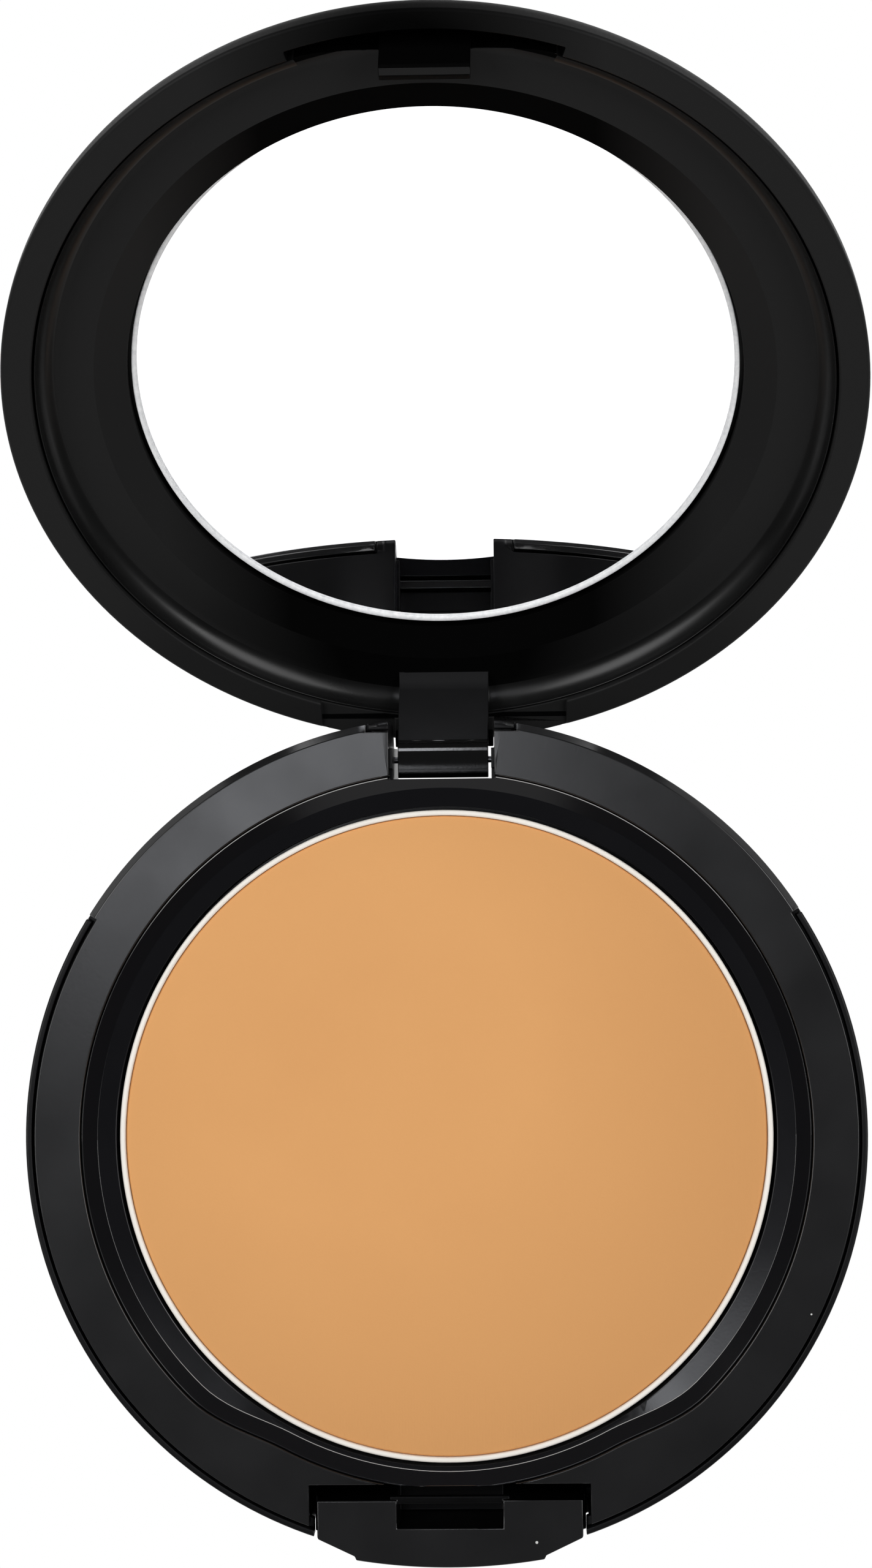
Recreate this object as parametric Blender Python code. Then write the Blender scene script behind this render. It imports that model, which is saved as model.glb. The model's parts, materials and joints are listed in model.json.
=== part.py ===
"""Round powder compact, open: base with pan and release button, hinged lid with mirror.

Frame: origin at the centre of the underside, +Z up, hinge at +Y, release button at -Y.
Sizes are in millimetres here and turned into metres by MM. The lid pieces are drawn closed,
then hung on an empty on the hinge axis that turns them open.
"""

import math

import bmesh
import bpy
from mathutils import Matrix

MM = 0.001
GAP = 0.3                     # clearance between pieces
RING_STEPS = 72               # facets round the large rings
FAR = 60.0                    # cutters that leave the case reach this far
BITE = 0.5                    # how far solids that get joined run into each other
WELD = 1e-4                   # corners closer than this are merged

# Case
CASE_R = 38.0                 # outside radius of base and lid
DECK_Z = 17.6                 # height of the deck, where the lid closes
WALL = 1.4
FLOOR = 1.2
FOOT_R = 29.0                 # flat part of the underside
BELLY_Z = 8.0                 # the side is upright above this and rounded below
DECK_CHAMFER = 0.6
LIP_W = 0.55                  # bare edge of the lower shell round the deck
LIP_BEVEL = 0.2
REAR_SECTOR = 58.0            # degrees each side of the hinge where the deck covers the lip
SECTOR_GAP = 0.6              # degrees between the ends of that sector and the lip

# Label under the base
LABEL_R = 21.5
LABEL_T = 0.3
LABEL_RECESS = 0.7

# Hinge
AXIS_Y = 34.14
AXIS_Z = 10.35
OPEN_ANGLE = 140.6            # degrees from closed to the stop
PIN_R = 0.3
PIN_HALF = 7.0
PIN_HOLE_R = 0.38
NOTCH_HALF = 4.77             # half width of the notch between the ears
NOTCH_NECK = 4.47             # narrower ahead of the lid's flap
NOTCH_STEP_Y = 35.2
NOTCH_FRONT = 32.1
CHEEK_FRONT = 31.3            # block that carries the pin
CHEEK_Z = 0.5
DECK_NOTCH_Y = 30.94
EAR_HALF = 6.6                # outer side of the ears
EAR_BACK = 36.9               # ears show behind the deck from here
EAR_DROP = 0.1                # ears end this far under the deck plane
EAR_CHAMFER = 0.8
EAR_GAP = 0.2
TAB_HALF = 4.16
TAB_FRONT = 1.52              # tab face ahead of the axis
TAB_BACK = 0.3                # tab back behind the axis
TAB_FLARE = 1.0               # fillet where the tab leaves the liner
TAB_LOW = 1.0                 # the rounded end takes over this far above the axis
TAB_END_R = 1.3               # round of the tab's end; from the axis, with the lid open
TAB_END_Y = 0.9
TAB_END_Z = -0.75
TAB_END_TILTS = (51.0, 36.0, 21.0, 8.0, -5.0)
TAB_END_REST = [(-1.3, 0.35), (-1.65, 0.05), (-1.65, -0.4), (-1.1, -1.2), (0.0, -1.6), (1.2, -1.85)]
SWING_R = 8.0                 # room in the lid for the base's rear edge
SWING_HALF = 11.5
SKIRT_HALF = 4.6              # flap under the lid's rim that closes the back of the notch
SKIRT_Y = (35.5, 37.6)
SKIRT_Z = 16.45

# Tray, pan and powder
DECK_T = 1.2
DECK_HOLE_R = 33.05
DECK_SKIRT_R = 34.3           # outside of the collar under the deck
COLLAR_Z = (14.0, 14.8)       # shelf of the collar that the tray's flange lies over
TRAY_R = 32.75
TRAY_EDGE_Z = 17.4
TRAY_FLANGE_Z = (15.3, 15.1)  # underside of the flange at its edge and at the wall
LEDGE_R = (29.95, 31.6)       # nearly flat ledge round the pan
LEDGE_Z = (16.05, 16.25)
LEDGE_STEP = 0.05             # small step at its inner edge
TRAY_WALL_R = 31.0
TRAY_BOTTOM_Z = 11.0
TRAY_FLOOR_Z = 12.0
TRAY_NOTCH_HALF = 4.87        # straight cut at the rear that clears the hinge tab
TRAY_NOTCH_Y = 32.42
WELL_R = 29.9
DRAW_IN = 1.3                 # the opening is narrower at the front by this much
DRAW_FROM_R = 31.4
DRAW_ANGLES = (28.0, 45.0)    # degrees from the front: full inside the first, none past the second
PAN_R = 29.6
PAN_RIM_Z = 16.0
PAN_BOTTOM_Z = 12.7
PAN_WALL = 0.5
PAN_CHAMFER = 0.4
POWDER_TOP_Z = 15.75
POWDER_EDGE = (0.4, 0.15)     # worn edge of the powder, in and down
POWDER_SIDE = 0.15            # clearance round the powder
SEAT_GAP = 0.2                # clearance under the powder and under the glue
GLUE_R = 12.0
GLUE_T = 0.3

# Release button
BUTTON_HALF = 12.0
BUTTON_BACK = -32.65
BUTTON_SIDE_Y = -36.1         # front end of the straight sides
BUTTON_CORNER_Y = -37.7       # front end of the slanted corners
BUTTON_BOTTOM_Z = 8.3
BUTTON_DROP = 0.05            # its top lies this far under the deck plane
WING_HALF = 12.3              # wider lower part, hidden under the window's edge
WING_Z = 14.9
WING_FRONT = -35.9
FLANGE_HALF = 13.6            # keeps the button in its window
FLANGE_T = 0.9
FLANGE_Z = (9.0, 12.0)
WINDOW_HALF = 12.72           # window in the deck
WINDOW_BACK = -31.2
WINDOW_SILL_Z = 8.0
SHELL_WINDOW_HALF = (12.6, 12.3)  # window in the shell, below and above the step
SHELL_STEP_Z = 15.2
LIP_HALF = 8.5                # front face of the button
LIP_PROUD = 0.75              # how far it stands out of the case
LIP_BOW = 0.7
LIP_CORNER = 0.15             # width of the step beside the lip
POCKET_HALF = 4.8
POCKET_FRONT = -35.2
POCKET_BACK = -33.0
POCKET_FLOOR_Z = 9.6
BAR_HALF = 5.4
BAR_BACK = -32.3
BAR_Z = (16.7, 17.4)
SPRING_HALF = 9.0
SPRING_TIPS_Y = -30.15
SPRING_BOW = 2.15             # its middle stands this far ahead of the tips
SPRING_T = 0.25
SPRING_Z = (9.2, 11.8)

# Lid, heights from the deck plane
LID_H = 6.2
LID_CROWN = 0.4
LID_BAND_R = 35.3             # inside of the wide rim
LID_RISE = 1.2                # height at which the lid's side starts to curve
LID_CEILING = 5.3
CEILING_R = 27.0              # flat part of the ceiling
CEILING_RISE = 2.6            # height at which the inside starts to curve
RIM_GAP = 0.25                # gap between the lid and the deck when closed
RIM_BEVEL = 0.25
LINER_R = 35.1
LINER_BACK_R = 34.2
LINER_H = 2.7
LINER_T = 0.9
COVE_R = 2.0                  # hollow round from the liner up to the rim
COVE_FROM = 33.0
BEZEL_R = 30.05               # slope from the liner down to the glass
BEZEL_WALL = 1.0
BEZEL_SEAT_R = 27.2
BEZEL_SEAT_H = 3.9
BEZEL_TOP_H = 4.8
MIRROR_R = 26.95
MIRROR_H = 4.0
MIRROR_T = 0.8
MIRROR_BEVEL = 0.2
MIRROR_GLUE_R = 20.0
MIRROR_GLUE_Z = (0.15, 0.4)   # from the back of the glass
LATCH_HALF = 10.8             # recess in the liner for the button's shoulders
LATCH_EDGE = -33.2
LATCH_REACH_R = 36.2          # the recess runs into the rim this far
LATCH_SECTOR = 18.5
LATCH_ROOM = 2.5              # depth of the recess in the rim
POST_W = 1.05
POST_Y = (-32.6, -31.0)
POST_H = 0.5
HOOK_HALF = 3.73
HOOK_Y = (-34.15, -33.25)
HOOK_TIP_Z = 15.65
HOOK_CHAMFER = 0.25
HOOK_ROOT = (0.25, 0.8)       # heights in the liner's thickness where the hook starts
BARB_Y = -32.5
BARB_TOP_Z = 16.5

# Sponge in the space under the tray
SPONGE_R = 26.0
SPONGE_Z = (2.6, 9.6)
SPONGE_EDGE = 1.0


def clear_scene():
    for old in list(bpy.data.objects):
        bpy.data.objects.remove(old, do_unlink=True)


def material(name, colour, roughness, metallic=0.0):
    made = bpy.data.materials.new(name)
    made.use_nodes = True
    shader = made.node_tree.nodes["Principled BSDF"]
    shader.inputs["Base Color"].default_value = (*colour, 1.0)
    shader.inputs["Roughness"].default_value = roughness
    shader.inputs["Metallic"].default_value = metallic
    return made


def add_object(name, shape, finish=None):
    """Make an object from a bmesh drawn in millimetres."""
    bmesh.ops.remove_doubles(shape, verts=shape.verts, dist=WELD)
    bmesh.ops.dissolve_degenerate(shape, edges=shape.edges, dist=WELD)
    bmesh.ops.recalc_face_normals(shape, faces=shape.faces)
    shape.transform(Matrix.Scale(MM, 4))
    mesh = bpy.data.meshes.new(name)
    shape.to_mesh(mesh)
    shape.free()
    made = bpy.data.objects.new(name, mesh)
    bpy.context.scene.collection.objects.link(made)
    if finish:
        mesh.materials.append(finish)
    return made


def lathe(name, profile, finish=None, steps=RING_STEPS):
    """Turn a closed (radius, height) outline about Z."""
    shape = bmesh.new()
    corners = [shape.verts.new((r, 0.0, z)) for r, z in profile]
    pairs = list(zip(corners, corners[1:] + corners[:1]))
    edges = [shape.edges.new(pair) for pair in pairs if max(pair[0].co.x, pair[1].co.x) > 0.0]
    bmesh.ops.spin(shape, geom=corners + edges, cent=(0, 0, 0), axis=(0, 0, 1),
                   angle=math.tau, steps=steps, use_merge=True)
    return add_object(name, shape, finish)


def prism(name, outline, low, high, finish=None):
    """Extrude an (x, y) outline from one height to another."""
    shape = bmesh.new()
    face = shape.faces.new([shape.verts.new((x, y, low)) for x, y in outline])
    grown = bmesh.ops.extrude_face_region(shape, geom=[face])
    top = [part for part in grown["geom"] if isinstance(part, bmesh.types.BMVert)]
    bmesh.ops.translate(shape, verts=top, vec=(0, 0, high - low))
    return add_object(name, shape, finish)


def slab(name, outline, half, finish=None):
    """Extrude a (y, z) outline across X, from -half to half."""
    shape = bmesh.new()
    face = shape.faces.new([shape.verts.new((-half, y, z)) for y, z in outline])
    grown = bmesh.ops.extrude_face_region(shape, geom=[face])
    far = [part for part in grown["geom"] if isinstance(part, bmesh.types.BMVert)]
    bmesh.ops.translate(shape, verts=far, vec=(2 * half, 0, 0))
    return add_object(name, shape, finish)


def block(x, y, z):
    """A box given by its (low, high) pairs, used as a tool."""
    outline = [(x[0], y[0]), (x[1], y[0]), (x[1], y[1]), (x[0], y[1])]
    return prism("tool", outline, z[0], z[1])


def rod(half, radius, steps=16, name="tool", finish=None):
    """A round bar along X about the hinge axis."""
    turns = [math.tau * (i + 0.5) / steps for i in range(steps)]
    outline = [(AXIS_Y + radius * math.cos(t), AXIS_Z + radius * math.sin(t)) for t in turns]
    return slab(name, outline, half, finish)


def apply(target, tool, operation):
    """Boolean target with tool for good, and drop the tool."""
    step = target.modifiers.new("boolean", "BOOLEAN")
    step.operation = operation
    step.solver = "EXACT"
    step.object = tool
    bpy.context.view_layer.update()
    graph = bpy.context.evaluated_depsgraph_get()
    result = bpy.data.meshes.new_from_object(target.evaluated_get(graph))
    target.modifiers.clear()
    target.data = result
    bpy.data.objects.remove(tool, do_unlink=True)


def cut(target, *tools):
    for tool in tools:
        apply(target, tool, "DIFFERENCE")


def join(target, *tools):
    for tool in tools:
        apply(target, tool, "UNION")


def keep(target, tool):
    apply(target, tool, "INTERSECT")


def finish_mesh(piece, angle=35.0):
    piece.data.shade_smooth()
    piece.data.set_sharp_from_angle(angle=math.radians(angle))


def quarter(centre, size, first, last, steps):
    """Points on an ellipse between two angles in degrees, 0 being outward and 90 up."""
    points = []
    for i in range(steps + 1):
        t = math.radians(first + (last - first) * i / steps)
        points.append((centre[0] + size[0] * math.cos(t), centre[1] + size[1] * math.sin(t)))
    return points


def draw_in_front(piece):
    """Pull the rim of the opening inward round the front, after turning it."""
    full, none = DRAW_ANGLES
    for vertex in piece.data.vertices:
        r = math.hypot(vertex.co.x, vertex.co.y) / MM
        from_front = abs(math.degrees(math.atan2(vertex.co.x, -vertex.co.y)))
        if r < DRAW_FROM_R or r > DECK_HOLE_R + 0.1 or from_front >= none:
            continue
        share = min(1.0, (none - from_front) / (none - full))
        pull = DRAW_IN * share * share * (3 - 2 * share)
        vertex.co.x *= (r - pull) / r
        vertex.co.y *= (r - pull) / r


def belly():
    """Rounded outside of the base from the foot up to the upright side."""
    return quarter((FOOT_R, BELLY_Z), (CASE_R - FOOT_R, BELLY_Z), -90, 0, 6)


def base_solid(chamfer):
    rim = [(CASE_R, DECK_Z - chamfer), (CASE_R - chamfer, DECK_Z)]
    return lathe("tool", [(0.0, 0.0)] + belly() + rim + [(0.0, DECK_Z)])


def rear_wedge(extra=0.0):
    """Region behind the hinge sector, as a tool reaching outside the case."""
    half = math.radians(REAR_SECTOR + extra)
    outline = [(0.0, 0.0)]
    for turn in (-half, -half / 2, 0.0, half / 2, half):
        outline.append((FAR * math.sin(turn), FAR * math.cos(turn)))
    return outline


def make_base_shell(black):
    inner_r = CASE_R - WALL
    seat_z = DECK_Z - DECK_T - GAP
    bowl = quarter((FOOT_R, BELLY_Z), (inner_r - FOOT_R, BELLY_Z - LABEL_RECESS - FLOOR), 0, -90, 5)
    outline = [(0.0, LABEL_RECESS), (LABEL_R + GAP, LABEL_RECESS), (LABEL_R + GAP, 0.0)]
    outline += belly() + [(CASE_R, DECK_Z - 2 * GAP)]
    outline += [(CASE_R - LIP_BEVEL, DECK_Z - GAP), (CASE_R - LIP_W, DECK_Z - GAP)]
    outline += [(CASE_R - LIP_W, seat_z), (inner_r, seat_z)]
    outline += bowl + [(0.0, LABEL_RECESS + FLOOR)]
    shell = lathe("base_shell", outline, black)

    # Rear: the wall stops under the deck, and a block holds the hinge
    cut(shell, prism("tool", rear_wedge(), seat_z, FAR))
    cheeks = block((-EAR_HALF, EAR_HALF), (CHEEK_FRONT, FAR), (CHEEK_Z, seat_z))
    ears = block((-EAR_HALF, EAR_HALF), (EAR_BACK, FAR), (seat_z - BITE, DECK_Z - EAR_DROP))
    join(cheeks, ears)
    keep(cheeks, base_solid(EAR_CHAMFER))
    cut(cheeks, block((-FAR, FAR), (0.0, TRAY_R + 2 * GAP), (COLLAR_Z[0] - GAP, FAR)))
    join(shell, cheeks)
    cut(shell, block((-NOTCH_NECK, NOTCH_NECK), (NOTCH_FRONT, FAR), (-FAR, FAR)))
    cut(shell, block((-NOTCH_HALF, NOTCH_HALF), (NOTCH_STEP_Y, FAR), (-FAR, FAR)))
    cut(shell, rod(EAR_HALF + BITE, PIN_HOLE_R))

    # Front: stepped window for the button
    lower, upper = SHELL_WINDOW_HALF
    cut(shell, block((-lower, lower), (-FAR, WINDOW_BACK), (WINDOW_SILL_Z, SHELL_STEP_Z)))
    cut(shell, block((-upper, upper), (-FAR, WINDOW_BACK), (SHELL_STEP_Z - BITE, FAR)))
    return shell


def make_inner_frame(black):
    low = DECK_Z - DECK_T
    flush_r = CASE_R - LIP_W - GAP
    outline = [(DECK_HOLE_R, DECK_Z), (flush_r, DECK_Z), (flush_r, low), (DECK_SKIRT_R, low)]
    outline += [(DECK_SKIRT_R, COLLAR_Z[0]), (TRAY_WALL_R + GAP, COLLAR_Z[0])]
    outline += [(TRAY_WALL_R + GAP, COLLAR_Z[1]), (DECK_HOLE_R, COLLAR_Z[1])]
    frame = lathe("inner_frame", outline, black)
    draw_in_front(frame)

    # Rear sector reaches the outside of the case
    edge = [(flush_r - BITE, low), (CASE_R, low), (CASE_R, DECK_Z - DECK_CHAMFER)]
    edge += [(CASE_R - DECK_CHAMFER, DECK_Z), (flush_r - BITE, DECK_Z)]
    rim = lathe("tool", edge)
    keep(rim, prism("tool", rear_wedge(-SECTOR_GAP), 0.0, FAR))
    join(frame, rim)

    # Hinge notch, ear clearance and the opening for the button
    cut(frame, block((-NOTCH_HALF, NOTCH_HALF), (TRAY_NOTCH_Y, FAR), (0.0, FAR)))
    cut(frame, block((-NOTCH_HALF, NOTCH_HALF), (DECK_NOTCH_Y, FAR), (COLLAR_Z[1], FAR)))
    ear_half = EAR_HALF + EAR_GAP
    cut(frame, block((-ear_half, ear_half), (EAR_BACK - EAR_GAP, FAR), (0.0, FAR)))
    cut(frame, block((-EAR_HALF - GAP, EAR_HALF + GAP), (TRAY_R + GAP, FAR), (0.0, low)))
    cut(frame, block((-WINDOW_HALF, WINDOW_HALF), (-FAR, WINDOW_BACK), (0.0, FAR)))
    flange_half = FLANGE_HALF + 2 * GAP
    cut(frame, block((-flange_half, flange_half), (-FAR, WINDOW_BACK), (0.0, low)))
    return frame


def make_powder_tray(black):
    outline = [(TRAY_R, TRAY_EDGE_Z), (TRAY_R, TRAY_FLANGE_Z[0]), (TRAY_WALL_R, TRAY_FLANGE_Z[1])]
    outline += [(TRAY_WALL_R, TRAY_BOTTOM_Z), (0.0, TRAY_BOTTOM_Z)]
    outline += [(0.0, TRAY_FLOOR_Z), (WELL_R, TRAY_FLOOR_Z)]
    outline += [(WELL_R, LEDGE_Z[0] - LEDGE_STEP), (LEDGE_R[0], LEDGE_Z[0]), (LEDGE_R[1], LEDGE_Z[1])]
    tray = lathe("powder_tray", outline, black)
    draw_in_front(tray)
    cut(tray, block((-TRAY_NOTCH_HALF, TRAY_NOTCH_HALF), (TRAY_NOTCH_Y, FAR), (0.0, FAR)))
    return tray


def make_pan_and_powder(tin, powder, glue):
    inner = PAN_R - PAN_WALL
    cup = [(0.0, PAN_BOTTOM_Z), (PAN_R - PAN_CHAMFER, PAN_BOTTOM_Z), (PAN_R, PAN_BOTTOM_Z + PAN_CHAMFER)]
    cup += [(PAN_R, PAN_RIM_Z), (inner, PAN_RIM_Z)]
    cup += [(inner, PAN_BOTTOM_Z + PAN_WALL), (0.0, PAN_BOTTOM_Z + PAN_WALL)]
    pan = lathe("powder_pan", cup, tin)
    low = PAN_BOTTOM_Z + PAN_WALL + SEAT_GAP
    fill_r = inner - POWDER_SIDE
    edge_in, edge_down = POWDER_EDGE
    cake = [(0.0, low), (fill_r, low), (fill_r, POWDER_TOP_Z - edge_down)]
    cake += [(fill_r - edge_in, POWDER_TOP_Z), (0.0, POWDER_TOP_Z)]
    pressed = lathe("pressed_powder", cake, powder)
    low = TRAY_FLOOR_Z + SEAT_GAP
    spot = [(0.0, low), (GLUE_R, low), (GLUE_R, low + GLUE_T), (0.0, low + GLUE_T)]
    dot = lathe("pan_adhesive", spot, glue, RING_STEPS // 2)
    return [pan, pressed, dot]


def button_plan():
    """Plan outline: straight sides, slanted corners, and a bowed front lip."""
    lip_y = -CASE_R - LIP_PROUD
    corner = LIP_HALF + LIP_CORNER
    points = [(BUTTON_HALF, BUTTON_BACK), (-BUTTON_HALF, BUTTON_BACK), (-BUTTON_HALF, BUTTON_SIDE_Y)]
    points.append((-corner, BUTTON_CORNER_Y))
    steps = 8
    for i in range(steps + 1):
        share = 2 * i / steps - 1
        points.append((LIP_HALF * share, lip_y + LIP_BOW * share * share))
    points += [(corner, BUTTON_CORNER_Y), (BUTTON_HALF, BUTTON_SIDE_Y)]
    return points


def make_release_button(black):
    button = prism("release_button", button_plan(), BUTTON_BOTTOM_Z, DECK_Z - BUTTON_DROP, black)
    wings = block((-WING_HALF, WING_HALF), (WING_FRONT, BUTTON_BACK), (BUTTON_BOTTOM_Z, WING_Z))
    flange = block((-FLANGE_HALF, FLANGE_HALF), (BUTTON_BACK - FLANGE_T, BUTTON_BACK), FLANGE_Z)
    join(button, wings, flange)
    cut(button, block((-POCKET_HALF, POCKET_HALF), (POCKET_FRONT, 0.0), (POCKET_FLOOR_Z, FAR)))
    join(button, block((-BAR_HALF, BAR_HALF), (POCKET_BACK, BAR_BACK), BAR_Z))
    return button


def make_button_spring(steel):
    """Bowed leaf between the button and the tray wall."""
    back = []
    front = []
    steps = 12
    for i in range(steps + 1):
        share = 2 * i / steps - 1
        x = SPRING_HALF * share
        y = SPRING_TIPS_Y - SPRING_BOW * math.cos(math.pi / 2 * share)
        back.append((x, y + SPRING_T))
        front.append((x, y))
    return prism("button_spring", front + back[::-1], *SPRING_Z, steel)


def lid_z(height):
    return DECK_Z + height


def latch_room(rim):
    """Cutter that takes the latch recess into the rim at the front."""
    half = math.radians(LATCH_SECTOR)
    steps = 8
    outline = []
    for radius, way in ((LATCH_REACH_R, 1), (LID_BAND_R - BITE, -1)):
        for i in range(steps + 1):
            turn = way * half * (2 * i / steps - 1)
            outline.append((radius * math.sin(turn), -radius * math.cos(turn)))
    return prism("tool", outline, rim - BITE, rim + LATCH_ROOM)


def make_lid_shell(black):
    side = quarter((FOOT_R, lid_z(LID_RISE)), (CASE_R - FOOT_R, LID_H - LID_RISE), 0, 90, 7)
    crown = [(FOOT_R * k / 3, lid_z(LID_H + LID_CROWN * (1 - k * k / 9))) for k in (2, 1, 0)]
    rim = lid_z(RIM_GAP)
    bowl = (LID_BAND_R - CEILING_R, LID_CEILING - CEILING_RISE)
    inner = quarter((CEILING_R, lid_z(CEILING_RISE)), bowl, 90, 0, 5)
    outline = [(LID_BAND_R, rim), (CASE_R - RIM_BEVEL, rim), (CASE_R, rim + RIM_BEVEL)] + side + crown
    outline += [(0.0, lid_z(LID_CEILING))] + inner
    shell = lathe("lid_shell", outline, black)
    cut(shell, rod(SWING_HALF, SWING_R, 64), latch_room(rim))
    join(shell, block((-SKIRT_HALF, SKIRT_HALF), SKIRT_Y, (SKIRT_Z, rim + 2 * BITE)))
    return shell


def tab_end():
    """(y, z) outline of the tab's rounded end with the lid closed; drawn open, then turned back."""
    back_turn = math.radians(OPEN_ANGLE)
    outline = []
    for tilt in TAB_END_TILTS:
        lean = math.radians(tilt)
        outline.append((TAB_END_Y + TAB_END_R * math.sin(lean), TAB_END_Z + TAB_END_R * math.cos(lean)))
    outline += TAB_END_REST
    turned = []
    for y, z in outline:
        turned.append((AXIS_Y + y * math.cos(back_turn) - z * math.sin(back_turn),
                       AXIS_Z + y * math.sin(back_turn) + z * math.cos(back_turn)))
    return turned


def make_lid_liner(black):
    face = lid_z(LINER_H)
    back = face + LINER_T
    cup_r = BEZEL_R + BEZEL_WALL
    outline = [(BEZEL_R, face)]
    outline += quarter((COVE_FROM, face - COVE_R), (COVE_R, COVE_R), 90, 0, 4)
    outline += [(LINER_R, face - COVE_R), (LINER_R, face), (LINER_BACK_R, back), (cup_r, back)]
    outline += [(cup_r, lid_z(BEZEL_TOP_H)), (BEZEL_SEAT_R, lid_z(BEZEL_TOP_H))]
    outline += [(BEZEL_SEAT_R, lid_z(BEZEL_SEAT_H))]
    liner = lathe("lid_liner", outline, black)

    # Recess between two posts for the button's shoulders, with the hook in the middle
    half = LATCH_HALF + POST_W
    cut(liner, block((-LATCH_HALF, LATCH_HALF), (-FAR, LATCH_EDGE), (0.0, FAR)))
    for side in (-1, 1):
        x = sorted((side * LATCH_HALF, side * half))
        join(liner, block(x, POST_Y, (face, face + POST_H)))
    root = (face + HOOK_ROOT[0], back)
    top = face + HOOK_ROOT[1]
    join(liner, block((-HOOK_HALF, HOOK_HALF), (HOOK_Y[0], LATCH_EDGE + BITE), root))
    hook = [(HOOK_Y[0], top), (HOOK_Y[0], HOOK_TIP_Z + HOOK_CHAMFER), (HOOK_Y[0] + HOOK_CHAMFER, HOOK_TIP_Z)]
    hook += [(HOOK_Y[1], HOOK_TIP_Z), (BARB_Y, BARB_TOP_Z - HOOK_CHAMFER), (BARB_Y, BARB_TOP_Z)]
    hook += [(HOOK_Y[1], BARB_TOP_Z), (HOOK_Y[1], top)]
    join(liner, slab("tool", hook, HOOK_HALF))

    # Tab that reaches down to the hinge pin
    front = AXIS_Y - TAB_FRONT
    root = face + GAP
    low = AXIS_Z + TAB_LOW
    tab = [(front, low), (AXIS_Y + TAB_BACK, low), (AXIS_Y + TAB_BACK, root)]
    tab += [(front - TAB_FLARE, root), (front - TAB_FLARE, face), (front, face - TAB_FLARE)]
    join(liner, slab("tool", tab, TAB_HALF), slab("tool", tab_end(), TAB_HALF))
    cut(liner, rod(TAB_HALF + BITE, PIN_HOLE_R))
    return liner


def make_mirror(silver, glue):
    front = lid_z(MIRROR_H)
    back = front + MIRROR_T
    outline = [(0.0, front), (MIRROR_R - MIRROR_BEVEL, front), (MIRROR_R, front + MIRROR_BEVEL)]
    outline += [(MIRROR_R, back), (0.0, back)]
    glass = lathe("mirror_glass", outline, silver)
    low, high = (back + height for height in MIRROR_GLUE_Z)
    outline = [(0.0, low), (MIRROR_GLUE_R, low), (MIRROR_GLUE_R, high), (0.0, high)]
    return [glass, lathe("mirror_adhesive", outline, glue, RING_STEPS // 2)]


def make_sponge(foam):
    low, high = SPONGE_Z
    flat_r = SPONGE_R - SPONGE_EDGE
    outline = [(0.0, low), (flat_r, low), (SPONGE_R, low + SPONGE_EDGE), (SPONGE_R, high - SPONGE_EDGE)]
    outline += [(flat_r, high), (0.0, high)]
    return lathe("sponge_applicator", outline, foam, RING_STEPS // 2)


def make_label(paper):
    outline = [(0.0, 0.0), (LABEL_R, 0.0), (LABEL_R, LABEL_T), (0.0, LABEL_T)]
    return lathe("base_label", outline, paper, 48)


def hang(pieces, pivot, place):
    """Put pieces on an empty at a joint, keeping where they were drawn."""
    empty = bpy.data.objects.new(pivot, None)
    empty.location = place
    bpy.context.scene.collection.objects.link(empty)
    for piece in pieces:
        piece.data.transform(Matrix.Translation([-value for value in place]))
        piece.parent = empty
    return empty


def build():
    clear_scene()
    black = material("black_plastic", (0.013, 0.013, 0.014), 0.35)
    tin = material("pan_metal", (0.86, 0.82, 0.76), 0.35, 0.6)
    powder = material("powder", (0.78, 0.42, 0.16), 0.95)
    steel = material("steel", (0.55, 0.55, 0.56), 0.3, 1.0)
    silver = material("mirror", (0.95, 0.95, 0.95), 0.02, 1.0)
    glue = material("adhesive", (0.75, 0.74, 0.7), 0.6)
    foam = material("foam", (0.85, 0.74, 0.6), 0.95)
    paper = material("label", (0.03, 0.03, 0.03), 0.5)

    base = [make_base_shell(black), make_inner_frame(black), make_powder_tray(black)]
    base += make_pan_and_powder(tin, powder, glue)
    base += [rod(PIN_HALF, PIN_R, name="hinge_pin", finish=steel)]
    base += [make_button_spring(steel), make_sponge(foam), make_label(paper)]
    button = make_release_button(black)
    lid = [make_lid_shell(black), make_lid_liner(black)] + make_mirror(silver, glue)

    for piece in base + [button] + lid:
        finish_mesh(piece)
    hang([button], "button_slide", (0.0, BUTTON_BACK * MM, BUTTON_BOTTOM_Z * MM))
    hinge = hang(lid, "lid_hinge", (0.0, AXIS_Y * MM, AXIS_Z * MM))
    hinge.rotation_euler.x = -math.radians(OPEN_ANGLE)


build()
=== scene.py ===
import json
import math

import bmesh
import bpy
from mathutils import Matrix, Vector


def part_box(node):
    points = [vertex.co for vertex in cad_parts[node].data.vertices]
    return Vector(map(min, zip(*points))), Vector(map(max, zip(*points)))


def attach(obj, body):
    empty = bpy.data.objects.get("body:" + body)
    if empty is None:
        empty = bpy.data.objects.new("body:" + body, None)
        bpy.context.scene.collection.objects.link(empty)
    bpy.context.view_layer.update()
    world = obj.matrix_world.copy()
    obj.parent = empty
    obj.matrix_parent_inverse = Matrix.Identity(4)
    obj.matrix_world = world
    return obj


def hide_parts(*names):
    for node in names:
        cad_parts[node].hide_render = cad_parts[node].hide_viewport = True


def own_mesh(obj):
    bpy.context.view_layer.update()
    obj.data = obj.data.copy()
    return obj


# The script draws in millimetres, with the lid closed, and turns the pieces into metres.
MM = 0.001

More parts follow.
